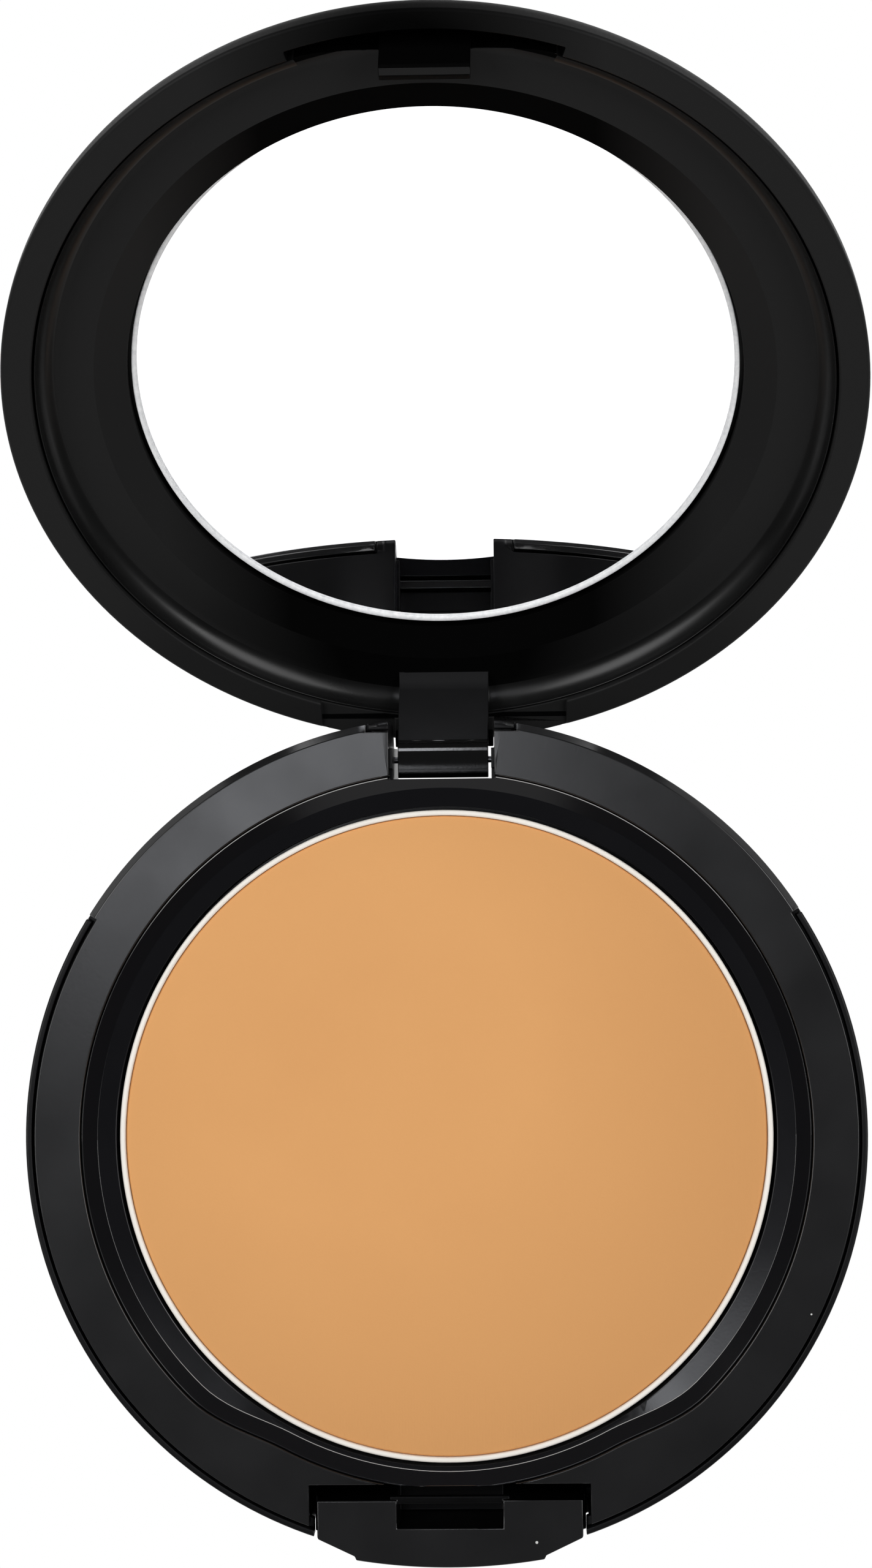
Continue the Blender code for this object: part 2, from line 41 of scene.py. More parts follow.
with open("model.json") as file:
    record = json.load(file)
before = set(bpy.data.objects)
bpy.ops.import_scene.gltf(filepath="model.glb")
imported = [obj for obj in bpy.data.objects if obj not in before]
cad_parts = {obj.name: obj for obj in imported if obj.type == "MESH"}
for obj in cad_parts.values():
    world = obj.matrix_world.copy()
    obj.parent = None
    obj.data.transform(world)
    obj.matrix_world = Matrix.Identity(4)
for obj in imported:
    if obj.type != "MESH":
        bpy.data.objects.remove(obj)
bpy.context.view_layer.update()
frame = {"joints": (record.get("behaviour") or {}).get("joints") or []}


def node_box(name):
    """Lowest and highest corner of a CAD node, in millimetres."""
    low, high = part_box(name)
    return low / MM, high / MM


def joint(name):
    return next(entry for entry in frame["joints"] if entry["name"] == name)


# Sizes read from the frame
shell_high = node_box("base_shell")[1]
deck_high = node_box("inner_frame")[1]
tray_low, tray_high = node_box("powder_tray")
pan_low, pan_high = node_box("powder_pan")
cake_high = node_box("pressed_powder")[1]
pin_low, pin_high = node_box("hinge_pin")
button_low, button_high = node_box("release_button")
sponge_low, sponge_high = node_box("sponge_applicator")
label_high = node_box("base_label")[1]
CASE_R = shell_high.x
DECK_Z = deck_high.z
TRAY_R = tray_high.x
TRAY_BOTTOM_Z = tray_low.z
PAN_R = pan_high.x
PAN_RIM_Z = pan_high.z
PAN_BOTTOM_Z = pan_low.z
POWDER_TOP_Z = cake_high.z
PIN_HALF = pin_high.x
PIN_R = (pin_high.z - pin_low.z) / 2
LABEL_R = label_high.x
LABEL_T = label_high.z
AXIS_Y = joint("lid_hinge")["pos_m"][1] / MM
AXIS_Z = joint("lid_hinge")["pos_m"][2] / MM
OPEN_ANGLE = max(abs(turn) for turn in joint("lid_hinge")["range_deg"])

# Sizes inside the pieces, the same as the CAD source's unless a comment says otherwise
GAP = 0.3                     # clearance between pieces
BITE = 0.5                    # how far solids that get joined run into each other
WALL = 1.4
FLOOR = 1.2
FOOT_R = 29.0
BELLY_Z = 8.0
LIP_W = 0.55                  # bare edge of the lower shell round the deck
REAR_SECTOR = 58.0            # degrees each side of the hinge where the deck covers the lip
SECTOR_GAP = 0.6              # degrees
DECK_CHAMFER = 0.6
LABEL_RECESS = 0.7
PIN_HOLE_R = 0.38
NOTCH_HALF = 4.77
NOTCH_NECK = 4.47
NOTCH_STEP_Y = 35.2
NOTCH_FRONT = 32.1
CHEEK_FRONT = 31.3            # block that carries the pin
CHEEK_Z = 0.5
DECK_NOTCH_Y = 30.94
EAR_HALF = 6.6
EAR_BACK = 36.9
EAR_DROP = 0.1                # ears end this far under the deck plane
EAR_GAP = 0.2
TAB_HALF = 4.16
TAB_FRONT = 1.52
TAB_BACK = 0.3
TAB_FLARE = 1.0               # where the tab widens into the liner
TAB_LOW = 1.0                 # the rounded end takes over this far above the axis
TAB_ROOT = 0.3
TAB_END_R = 1.3               # round of the tab's end; from the axis, with the lid open
TAB_END_Y = 0.9
TAB_END_Z = -0.75
TAB_END_TILTS = range(51, -6, -4)  # finer than the CAD's
TAB_END_REST = [(-1.3, 0.35), (-1.65, 0.05), (-1.65, -0.4), (-1.1, -1.2), (0.0, -1.6), (1.2, -1.85)]
SWING_R = 8.0                 # room in the lid for the base's rear edge
SWING_HALF = 11.5
SKIRT_HALF = 4.6              # flap that closes the back of the notch
SKIRT_Y = (35.5, 37.6)
SKIRT_Z = 16.45
DECK_T = 1.2
DECK_HOLE_R = 33.05
DECK_SKIRT_R = 34.3           # outside of the collar under the deck
COLLAR_Z = (14.0, 14.8)
TRAY_EDGE_Z = 17.4
TRAY_FLANGE_Z = (15.3, 15.1)  # underside of the flange at its edge and at the wall
TRAY_JOINT = 0.07             # line between tray and deck
LEDGE_R = (29.95, 31.6)       # nearly flat ledge round the pan
LEDGE_Z = (16.05, 16.25)
LEDGE_STEP = 0.05
TRAY_WALL_R = 31.0
TRAY_FLOOR_Z = 12.0
TRAY_NOTCH_HALF = 4.87
TRAY_NOTCH_Y = 32.42
WELL_R = 29.9
DRAW_IN = 1.3                 # the opening is narrower at the front by this much
DRAW_FROM_R = 31.4
DRAW_MARGIN = 0.25
DRAW_ANGLES = (28.0, 45.0)    # degrees from the front: full inside the first, none past the second
PAN_WALL = 0.5
POWDER_SIDE = 0.03            # gap round the powder, narrower than the CAD's
POWDER_FLAT = 2.0             # the flat top starts this far in from its rim
SEAT_GAP = 0.2                # clearance under the powder and under the glue
GLUE_R = 12.0
GLUE_T = 0.3
BUTTON_HALF = 12.0
BUTTON_BACK = -32.65
BUTTON_SIDE_Y = -36.1
BUTTON_CORNER_Y = -37.7
WING_HALF = 12.3              # wider lower part, hidden under the window's edge
WING_Z = 14.9
WING_FRONT = -35.9
FLANGE_HALF = 13.6            # keeps the button in its window
FLANGE_T = 0.9
FLANGE_Z = (9.0, 12.0)
WINDOW_HALF = 12.72
WINDOW_BACK = -31.2
WINDOW_SILL_Z = 8.0
SHELL_WINDOW_HALF = (12.6, 12.3)  # window in the shell, below and above the step
SHELL_STEP_Z = 15.2
LIP_HALF = 8.5
LIP_BOW = 0.7
LIP_CORNER = 0.15             # width of the step beside the lip
POCKET_HALF = 4.8
POCKET_FRONT = -35.2
POCKET_BACK = -33.0
POCKET_FLOOR_Z = 9.6
BAR_HALF = 5.4
BAR_BACK = -32.3
BAR_Z = (16.7, 17.4)
SPRING_HALF = 9.0
SPRING_TIPS_Y = -30.15
SPRING_BOW = 2.15             # its middle stands this far ahead of the tips
SPRING_T = 0.25
SPRING_Z = (9.2, 11.8)
TRAY_FRONT_Y = -31.4          # flat at the front of the tray's rim, clear of the pressed button
LID_H = 6.2
LID_CROWN = 0.4
LID_BAND_R = 35.3
LID_RISE = 1.2
LID_CEILING = 5.3
CEILING_R = 27.0              # flat part of the ceiling
CEILING_RISE = 2.6            # height at which the inside starts to curve
RIM_GAP = 0.25                # gap between the lid and the deck when closed
LINER_R = 35.1
LINER_BACK_R = 34.2
LINER_H = 2.7
LINER_T = 0.9
COVE_R = 2.0                  # hollow round from the liner up to the rim
COVE_FROM = 33.0
BEZEL_R = 30.05               # slope from the liner down to the glass
BEZEL_WALL = 1.0
BEZEL_SEAT_R = 27.2
BEZEL_SEAT_H = 3.9
BEZEL_TOP_H = 4.8
MIRROR_R = 26.85              # 0.1 less than the CAD's
MIRROR_H = 4.0
SILVER_R = 26.4
SILVER_DEPTH = 0.35           # the silvering lies this far under the front of the glass
SILVER_T = 0.1
GLASS_BEVEL = (0.06, 0.1)     # the ground edge drops this much at its inner and outer side
MIRROR_LEAN = 1.5             # degrees the glass leans in its seat, front edge deeper
MIRROR_SET_BACK = 0.25
MIRROR_SHIFT = 0.45           # towards the front edge of the lid
MIRROR_GLUE_R = 20.0
MIRROR_GLUE_DEPTH = (0.55, 0.7)  # from the front of the glass
LATCH_HALF = 10.8             # recess in the liner for the button's shoulders
LATCH_EDGE = -33.2
LATCH_REACH_R = 36.2
LATCH_SECTOR = 18.5
LATCH_ROOM = 2.5              # depth of the recess in the rim
POST_W = 1.05
POST_Y = (-32.6, -31.0)
POST_H = 0.5
HOOK_HALF = 3.73
HOOK_Y = (-34.15, -33.25)
HOOK_TIP_Z = 15.65
HOOK_CHAMFER = 0.25
HOOK_ROOT = (0.25, 0.8)       # heights in the liner's thickness where the hook starts
BARB_Y = -32.5
BARB_TOP_Z = 16.5

# Extra rings beside the foot's edge and the ends of the wall
FOOT_RING = 0.5
WALL_RING = 1.0

# Where tools end, past the surfaces they meet
CUT_WEDGE = 60.0
CUT_Y = 50.0
CUT_Z = (-5.0, 30.0)
CUT_INNER = 40.0
CUT_ROOM = 20.0
CUT_FRONT = -30.0             # behind the front wall
CUT_TRAY_Z = (10.0, 20.0)
BLOCK_END = 45.0
EAR_TOP = 3.0                 # ring on top of the solid, this far in
PIN_REACH = 3.0
BAR_BITE = 0.2
OVER = 1.0                    # how far the other tools run past a surface

# Radii of rounded edges, several of them in the order of the outline
RECESS_ROUND = 0.12
SHELL_LIP_ROUND = (0.22, 0.1)
EAR_ROUND = 0.8
DECK_ROUND = (0.12, 0.2, 0.15)
TRAY_ROUND = (0.1, 0.3, 0.1)
LEDGE_ROUND = 0.15
PAN_ROUND = 0.5
PAN_RIM_ROUND = 0.22
PAN_INNER_ROUND = 0.3
POWDER_ROUND = 0.25
PIN_ROUND = 0.12
BUTTON_ROUND = (0.3, 0.2)
LABEL_ROUND = 0.1
GLUE_ROUND = 0.15
SPONGE_ROUND = 1.6
RIM_ROUND = (0.2, 0.35)
SEAT_ROUND = 0.06
BEZEL_ROUND = 0.2
TAB_ROUND = 1.2
GLASS_ROUND = 0.1

# Fineness of the visual meshes
RING_STEPS = 216
SMALL_STEPS = 72
ARC_STEP = 14.0               # degrees of turn per facet in a rounded corner
SIDE_SHARE = 0.49             # a rounding takes at most this share of a side
WELD = 1e-4                   # corners closer than this are merged
SHARP_ANGLE = 33.0            # degrees; edges sharper than this are rounded off

# Surface grain and patches of uneven gloss, in features per metre, and the grain's relief in metres
FINE_GRAIN = 4000.0
FINE_RELIEF = 2e-6
PATCHES = 120.0
WAVE_LENGTH = 0.31416         # one wave of the wave texture at scale 1

# Bounds for the faces that get a material of their own
NEAR = 0.1
TAB_ROUND_H = 2.1
TAB_AHEAD_Y = 31.0
LATCH_DEEP_Y = -31.5


# ---------------------------------------------------------------- outlines

def rounded(corners):
    """Closed outline through (x, y) corners; a third number rounds that corner off."""
    points = []
    count = len(corners)
    for i, corner in enumerate(corners):
        here = Vector(corner[:2])
        radius = corner[2] if len(corner) > 2 else 0.0
        before = Vector(corners[i - 1][:2]) - here
        after = Vector(corners[(i + 1) % count][:2]) - here
        if radius <= 0.0:
            points.append(tuple(here))
            continue
        opening = before.angle(after)
        reach = min(radius / math.tan(opening / 2), SIDE_SHARE * before.length, SIDE_SHARE * after.length)
        radius = reach * math.tan(opening / 2)
        middle = (before.normalized() + after.normalized()).normalized()
        centre = here + middle * (radius / math.sin(opening / 2))
        start = here + before.normalized() * reach - centre
        turn = start.angle_signed(here + after.normalized() * reach - centre)
        steps = max(2, math.ceil(abs(math.degrees(turn)) / ARC_STEP))
        for k in range(steps + 1):
            bend = -turn * k / steps
            points.append((centre.x + start.x * math.cos(bend) - start.y * math.sin(bend),
                           centre.y + start.x * math.sin(bend) + start.y * math.cos(bend)))
    return points


def quarter(centre, size, first, last, steps=24):
    """Points on an ellipse between two angles in degrees, 0 being outward and 90 up."""
    points = []
    for i in range(steps + 1):
        t = math.radians(first + (last - first) * i / steps)
        points.append((centre[0] + size[0] * math.cos(t), centre[1] + size[1] * math.sin(t)))
    return points


# ---------------------------------------------------------------- solids

def add_object(name, shape):
    bmesh.ops.remove_doubles(shape, verts=shape.verts, dist=WELD)
    bmesh.ops.dissolve_degenerate(shape, edges=shape.edges, dist=WELD)
    bmesh.ops.recalc_face_normals(shape, faces=shape.faces)
    mesh = bpy.data.meshes.new(name)
    shape.to_mesh(mesh)
    shape.free()
    made = bpy.data.objects.new(name, mesh)
    bpy.context.scene.collection.objects.link(made)
    return made


def lathe(name, outline, steps=RING_STEPS):
    """Turn a closed (radius, height) outline about Z."""
    shape = bmesh.new()
    corners = [shape.verts.new((r, 0.0, z)) for r, z in outline]
    pairs = list(zip(corners, corners[1:] + corners[:1]))
    edges = [shape.edges.new(pair) for pair in pairs if max(pair[0].co.x, pair[1].co.x) > 0.0]
    bmesh.ops.spin(shape, geom=corners + edges, cent=(0, 0, 0), axis=(0, 0, 1),
                   angle=math.tau, steps=steps, use_merge=True)
    return add_object(name, shape)


def part_ring(outline, first, last, steps):
    """Turn a closed outline through part of a circle; angles in degrees from +Y towards +X."""
    shape = bmesh.new()
    face = shape.faces.new([shape.verts.new((r, 0.0, z)) for r, z in outline])
    bmesh.ops.rotate(shape, verts=shape.verts, cent=(0, 0, 0),
                     matrix=Matrix.Rotation(math.radians(90.0 - first), 3, "Z"))
    bmesh.ops.spin(shape, geom=[face] + list(face.edges) + list(face.verts), cent=(0, 0, 0),
                   axis=(0, 0, 1), angle=math.radians(first - last), steps=steps)
    return add_object("tool", shape)


def extrude(name, corners, way):
    """Close the corner points into a face and push it along a vector."""
    shape = bmesh.new()
    face = shape.faces.new([shape.verts.new(corner) for corner in corners])
    grown = bmesh.ops.extrude_face_region(shape, geom=[face])
    far = [part for part in grown["geom"] if isinstance(part, bmesh.types.BMVert)]
    bmesh.ops.translate(shape, verts=far, vec=way)
    return add_object(name, shape)


def prism(name, outline, low, high):
    """Extrude an (x, y) outline from one height to another."""
    return extrude(name, [(x, y, low) for x, y in outline], (0, 0, high - low))


def slab(name, outline, half):
    """Extrude a (y, z) outline across X, from -half to half."""
    return extrude(name, [(-half, y, z) for y, z in outline], (2 * half, 0, 0))


def block(x, y, z):
    """A box given by its (low, high) pairs, used as a tool."""
    return prism("tool", [(x[0], y[0]), (x[1], y[0]), (x[1], y[1]), (x[0], y[1])], z[0], z[1])


def rod(half, radius, steps=48):
    """A round bar along X about the hinge axis, used as a tool."""
    turns = [math.tau * (i + 0.5) / steps for i in range(steps)]
    outline = [(AXIS_Y + radius * math.cos(turn), AXIS_Z + radius * math.sin(turn)) for turn in turns]
    return slab("tool", outline, half)


def combine(target, tool, operation):
    step = target.modifiers.new("boolean", "BOOLEAN")
    step.operation = operation
    step.solver = "EXACT"
    step.object = tool
    bpy.context.view_layer.update()
    graph = bpy.context.evaluated_depsgraph_get()
    result = bpy.data.meshes.new_from_object(target.evaluated_get(graph))
    target.modifiers.clear()
    target.data = result
    bpy.data.objects.remove(tool, do_unlink=True)


def cut(target, *tools):
    for tool in tools:
        combine(target, tool, "DIFFERENCE")


def join(target, *tools):
    for tool in tools:
        combine(target, tool, "UNION")


def keep(target, tool):
    combine(target, tool, "INTERSECT")


# ---------------------------------------------------------------- finishing

def lid_turn():
    """Matrix that opens the lid from closed to the stop, in millimetres."""
    pivot = Vector((0.0, AXIS_Y, AXIS_Z))
    turn = Matrix.Rotation(-math.radians(OPEN_ANGLE), 4, "X")
    return Matrix.Translation(pivot) @ turn @ Matrix.Translation(-pivot)


def assign(piece, extra):
    """Give the faces that a test picks out their own material.

    The test gets a face's centre in millimetres and its normal, both with the lid closed.
    """
    for finish, is_there in extra:
        piece.data.materials.append(finish)
        slot = len(piece.data.materials) - 1
        for face in piece.data.polygons:
            if is_there(face.center, face.normal):
                face.material_index = slot


def finish_piece(piece, body, node, finish, edge=0.0, extra=()):
    """Bring a piece to metres and its place, round its cut edges, and hand it to the frame."""
    piece.data.materials.clear()
    piece.data.materials.append(finish)
    assign(piece, extra)
    if body == "lid":
        piece.data.transform(lid_turn())
    piece.data.transform(Matrix.Scale(MM, 4))
    piece.data.shade_smooth()
    if edge:
        bevel = piece.modifiers.new("edges", "BEVEL")
        bevel.width = edge * MM
        bevel.segments = 3
        bevel.limit_method = "ANGLE"
        bevel.angle_limit = math.radians(SHARP_ANGLE)
        bevel.use_clamp_overlap = False
        bevel.harden_normals = False
    normals = piece.modifiers.new("normals", "WEIGHTED_NORMAL")
    normals.keep_sharp = True
    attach(piece, body)
    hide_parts(node)
    return piece


# ---------------------------------------------------------------- base pieces

def belly():
    return quarter((FOOT_R, BELLY_Z), (CASE_R - FOOT_R, BELLY_Z), -90, 0)


def rear_wedge():
    """Region behind the hinge sector, as an outline reaching outside the case."""
    half = math.radians(REAR_SECTOR)
    turns = (-half, -half / 2, 0.0, half / 2, half)
    return [(0.0, 0.0)] + [(CUT_WEDGE * math.sin(turn), CUT_WEDGE * math.cos(turn)) for turn in turns]


def base_solid():
    outline = [(0.0, 0.0)] + belly()[:-1]
    outline += rounded([(CASE_R, BELLY_Z), (CASE_R, DECK_Z, EAR_ROUND), (CASE_R - EAR_TOP, DECK_Z)])
    return lathe("tool", outline + [(0.0, DECK_Z)])


def make_base_case():
    inner_r = CASE_R - WALL
    seat_z = DECK_Z - DECK_T - GAP
    lip_z = DECK_Z - GAP
    recess_r = LABEL_R + GAP
    outer_round, inner_round = SHELL_LIP_ROUND
    outline = rounded([(0.0, LABEL_RECESS), (recess_r, LABEL_RECESS), (recess_r, 0.0, RECESS_ROUND),
                       (FOOT_R - FOOT_RING, 0.0)])
    outline += belly()
    outline += rounded([(CASE_R, lip_z - WALL_RING), (CASE_R, lip_z, outer_round),
                        (CASE_R - LIP_W, lip_z, inner_round), (CASE_R - LIP_W, seat_z), (inner_r, seat_z),
                        (inner_r, seat_z - WALL_RING)])
    outline += quarter((FOOT_R, BELLY_Z), (inner_r - FOOT_R, BELLY_Z - LABEL_RECESS - FLOOR), 0, -90, 8)
    outline += [(0.0, LABEL_RECESS + FLOOR)]
    shell = lathe("base_case", outline)

    # Rear: the wall stops under the deck, and a block holds the hinge
    cut(shell, prism("tool", rear_wedge(), seat_z, DECK_Z + OVER))
    cheeks = block((-EAR_HALF, EAR_HALF), (CHEEK_FRONT, BLOCK_END), (CHEEK_Z, seat_z))
    join(cheeks, block((-EAR_HALF, EAR_HALF), (EAR_BACK, BLOCK_END), (seat_z - OVER, DECK_Z - EAR_DROP)))
    keep(cheeks, base_solid())
    room = (COLLAR_Z[0] - GAP, CUT_Z[1])
    cut(cheeks, block((-CUT_ROOM, CUT_ROOM), (CUT_ROOM, TRAY_R + 2 * GAP), room))
    join(shell, cheeks)
    cut(shell, block((-NOTCH_NECK, NOTCH_NECK), (NOTCH_FRONT, CUT_Y), CUT_Z))
    cut(shell, block((-NOTCH_HALF, NOTCH_HALF), (NOTCH_STEP_Y, CUT_Y), CUT_Z))
    cut(shell, rod(EAR_HALF + PIN_REACH, PIN_HOLE_R))

    # Front: stepped window for the button
    lower, upper = SHELL_WINDOW_HALF
    cut(shell, block((-lower, lower), (-CUT_Y, CUT_FRONT), (WINDOW_SILL_Z, SHELL_STEP_Z)))
    cut(shell, block((-upper, upper), (-CUT_Y, CUT_FRONT), (SHELL_STEP_Z - BITE, CUT_Z[1])))
    return shell


def draw_in_front(piece):
    """Pull the rim of the opening inward round the front, after turning it."""
    full, none = DRAW_ANGLES
    for vertex in piece.data.vertices:
        r = math.hypot(vertex.co.x, vertex.co.y)
        from_front = abs(math.degrees(math.atan2(vertex.co.x, -vertex.co.y)))
        if r < DRAW_FROM_R or r > DECK_HOLE_R + DRAW_MARGIN or from_front >= none:
            continue
        share = min(1.0, (none - from_front) / (none - full))
        pull = DRAW_IN * share * share * (3 - 2 * share)
        vertex.co.x *= (r - pull) / r
        vertex.co.y *= (r - pull) / r


def make_deck():
    low = DECK_Z - DECK_T
    flush_r = CASE_R - LIP_W - GAP
    hole_round, top_round, side_round = DECK_ROUND
    outline = rounded([(DECK_HOLE_R, DECK_Z, hole_round), (CASE_R - DECK_CHAMFER, DECK_Z, top_round),
                       (CASE_R, DECK_Z - DECK_CHAMFER, side_round), (CASE_R, low), (DECK_SKIRT_R, low),
                       (DECK_SKIRT_R, COLLAR_Z[0]), (TRAY_WALL_R + GAP, COLLAR_Z[0]),
                       (TRAY_WALL_R + GAP, COLLAR_Z[1]), (DECK_HOLE_R, COLLAR_Z[1])])
    deck = lathe("deck", outline)
    draw_in_front(deck)

    # Past the rear sector the deck stops inside the shell's lip
    reach = CASE_R + 2 * OVER
    margin = [(flush_r, low - OVER), (reach, low - OVER), (reach, DECK_Z + OVER), (flush_r, DECK_Z + OVER)]
    side = REAR_SECTOR - SECTOR_GAP
    cut(deck, part_ring(margin, side, 360.0 - side, RING_STEPS))

    # Hinge notch, ear clearance and the opening for the button
    cut(deck, block((-NOTCH_HALF, NOTCH_HALF), (TRAY_NOTCH_Y, CUT_Y), (0.0, CUT_Z[1])))
    cut(deck, block((-NOTCH_HALF, NOTCH_HALF), (DECK_NOTCH_Y, CUT_Y), (COLLAR_Z[1], CUT_Z[1])))
    ear_half = EAR_HALF + EAR_GAP
    cut(deck, block((-ear_half, ear_half), (EAR_BACK - EAR_GAP, CUT_Y), (0.0, CUT_Z[1])))
    cut(deck, block((-EAR_HALF - GAP, EAR_HALF + GAP), (TRAY_R + GAP, CUT_Y), (0.0, low)))
    cut(deck, block((-WINDOW_HALF, WINDOW_HALF), (-CUT_Y, WINDOW_BACK), (0.0, CUT_Z[1])))
    flange_half = FLANGE_HALF + 2 * GAP
    cut(deck, block((-flange_half, flange_half), (-CUT_Y, WINDOW_BACK), (0.0, low)))
    return deck


def make_tray():
    edge_r = DECK_HOLE_R - TRAY_JOINT
    edge_round, bottom_round, well_round = TRAY_ROUND
    outline = rounded([(edge_r, TRAY_EDGE_Z, edge_round), (edge_r, TRAY_FLANGE_Z[0]),
                       (TRAY_WALL_R, TRAY_FLANGE_Z[1]), (TRAY_WALL_R, TRAY_BOTTOM_Z, bottom_round),
                       (0.0, TRAY_BOTTOM_Z), (0.0, TRAY_FLOOR_Z), (WELL_R, TRAY_FLOOR_Z),
                       (WELL_R, LEDGE_Z[0] - LEDGE_STEP, well_round), (LEDGE_R[0], LEDGE_Z[0]),
                       (LEDGE_R[1], LEDGE_Z[1], LEDGE_ROUND)])
    tray = lathe("tray", outline)
    draw_in_front(tray)
    for vertex in tray.data.vertices:
        vertex.co.y = max(vertex.co.y, TRAY_FRONT_Y)
    cut(tray, block((-TRAY_NOTCH_HALF, TRAY_NOTCH_HALF), (TRAY_NOTCH_Y, CUT_INNER), CUT_TRAY_Z))
    return tray


def make_pan():
    inner = PAN_R - PAN_WALL
    floor = PAN_BOTTOM_Z + PAN_WALL
    return lathe("pan", rounded([
        (0.0, PAN_BOTTOM_Z), (PAN_R, PAN_BOTTOM_Z, PAN_ROUND), (PAN_R, PAN_RIM_Z, PAN_RIM_ROUND),
        (inner, PAN_RIM_Z, PAN_RIM_ROUND), (inner, floor, PAN_INNER_ROUND), (0.0, floor)]))


def make_powder():
    low = PAN_BOTTOM_Z + PAN_WALL + SEAT_GAP
    fill_r = PAN_R - PAN_WALL - POWDER_SIDE
    return lathe("powder_cake", rounded([
        (0.0, low), (fill_r, low), (fill_r, POWDER_TOP_Z, POWDER_ROUND),
        (fill_r - POWDER_FLAT, POWDER_TOP_Z), (0.0, POWDER_TOP_Z)]))


def make_pin():
    outline = rounded([(0.0, -PIN_HALF), (PIN_R, -PIN_HALF, PIN_ROUND),
                       (PIN_R, PIN_HALF, PIN_ROUND), (0.0, PIN_HALF)])
    pin = lathe("hinge_rod", outline, 32)
    lay = Matrix.Translation((0.0, AXIS_Y, AXIS_Z)) @ Matrix.Rotation(math.pi / 2, 4, "Y")
    pin.data.transform(lay)
    return pin


def button_plan():
    """Plan outline: straight sides, slanted corners, and a bowed front lip."""
    lip_y = button_low.y
    corner = LIP_HALF + LIP_CORNER
    side_round, corner_round = BUTTON_ROUND
    points = [(BUTTON_HALF, BUTTON_BACK), (-BUTTON_HALF, BUTTON_BACK)]
    points += [(-BUTTON_HALF, BUTTON_SIDE_Y, side_round), (-corner, BUTTON_CORNER_Y, corner_round)]
    steps = 24
    for i in range(steps + 1):
        share = 2 * i / steps - 1
        points.append((LIP_HALF * share, lip_y + LIP_BOW * share * share))
    points += [(corner, BUTTON_CORNER_Y, corner_round), (BUTTON_HALF, BUTTON_SIDE_Y, side_round)]
    return rounded(points)


def make_button():
    button = prism("latch_button", button_plan(), button_low.z, button_high.z)
    join(button, block((-WING_HALF, WING_HALF), (WING_FRONT, BUTTON_BACK), (button_low.z, WING_Z)))
    join(button, block((-FLANGE_HALF, FLANGE_HALF), (BUTTON_BACK - FLANGE_T, BUTTON_BACK), FLANGE_Z))
    cut(button, block((-POCKET_HALF, POCKET_HALF), (POCKET_FRONT, CUT_FRONT), (POCKET_FLOOR_Z, CUT_ROOM)))
    join(button, block((-BAR_HALF, BAR_HALF), (POCKET_BACK - BAR_BITE, BAR_BACK), BAR_Z))
    cut(button, block((-POCKET_HALF, POCKET_HALF), (POCKET_FRONT, POCKET_BACK), (POCKET_FLOOR_Z, CUT_ROOM)))
    return button


def make_spring():
    """Bowed leaf between the button and the tray wall."""
    back = []
    front = []
    steps = 36
    for i in range(steps + 1):
        share = 2 * i / steps - 1
        y = SPRING_TIPS_Y - SPRING_BOW * math.cos(math.pi / 2 * share)
        back.append((SPRING_HALF * share, y + SPRING_T))
        front.append((SPRING_HALF * share, y))
    return prism("leaf_spring", front + back[::-1], *SPRING_Z)


def make_label():
    return lathe("underside_label", rounded([
        (0.0, 0.0), (LABEL_R, 0.0, LABEL_ROUND), (LABEL_R, LABEL_T, LABEL_ROUND), (0.0, LABEL_T)]))


def make_pan_glue():
    low = TRAY_FLOOR_Z + SEAT_GAP
    return lathe("pan_glue", rounded([
        (0.0, low), (GLUE_R, low), (GLUE_R, low + GLUE_T, GLUE_ROUND), (0.0, low + GLUE_T)]), SMALL_STEPS)


def make_sponge():
    """The round pad in the room under the tray."""
    high_r = sponge_high.x
    low, high = sponge_low.z, sponge_high.z
    centre_r = high_r - SPONGE_ROUND
    size = (SPONGE_ROUND, SPONGE_ROUND)
    outline = [(0.0, low)]
    outline += quarter((centre_r, low + SPONGE_ROUND), size, -90, 0, 8)
    outline += quarter((centre_r, high - SPONGE_ROUND), size, 0, 90, 8)
    return lathe("foam_pad", outline + [(0.0, high)], 2 * SMALL_STEPS)


# ---------------------------------------------------------------- lid pieces

def lid_z(height):
    return DECK_Z + height


def make_lid_cover():
    rim = lid_z(RIM_GAP)
    inner_round, outer_round = RIM_ROUND
    outline = rounded([(LID_BAND_R, lid_z(CEILING_RISE)), (LID_BAND_R, rim, inner_round),
                       (CASE_R, rim, outer_round), (CASE_R, lid_z(LID_RISE))])[1:-1]
    outline += quarter((FOOT_R, lid_z(LID_RISE)), (CASE_R - FOOT_R, LID_H - LID_RISE), 0, 90)
    crown = 16
    for i in range(crown - 1, -1, -1):
        share = i / crown
        outline.append((FOOT_R * share, lid_z(LID_H + LID_CROWN * (1 - share * share))))
    outline += [(0.0, lid_z(LID_CEILING))]
    bowl = (LID_BAND_R - CEILING_R, LID_CEILING - CEILING_RISE)
    outline += quarter((CEILING_R, lid_z(CEILING_RISE)), bowl, 90, 0, 12)
    cover = lathe("lid_cover", outline)
    cut(cover, rod(SWING_HALF, SWING_R, 96))

    # Room for the latch in the rim, and the flap at the hinge
    low, high = rim - OVER, rim + LATCH_ROOM
    room = [(LID_BAND_R - BITE, low), (LATCH_REACH_R, low), (LATCH_REACH_R, high), (LID_BAND_R - BITE, high)]
    cut(cover, part_ring(room, 180.0 - LATCH_SECTOR, 180.0 + LATCH_SECTOR, 32))
    join(cover, block((-SKIRT_HALF, SKIRT_HALF), SKIRT_Y, (SKIRT_Z, rim + OVER)))
    return cover


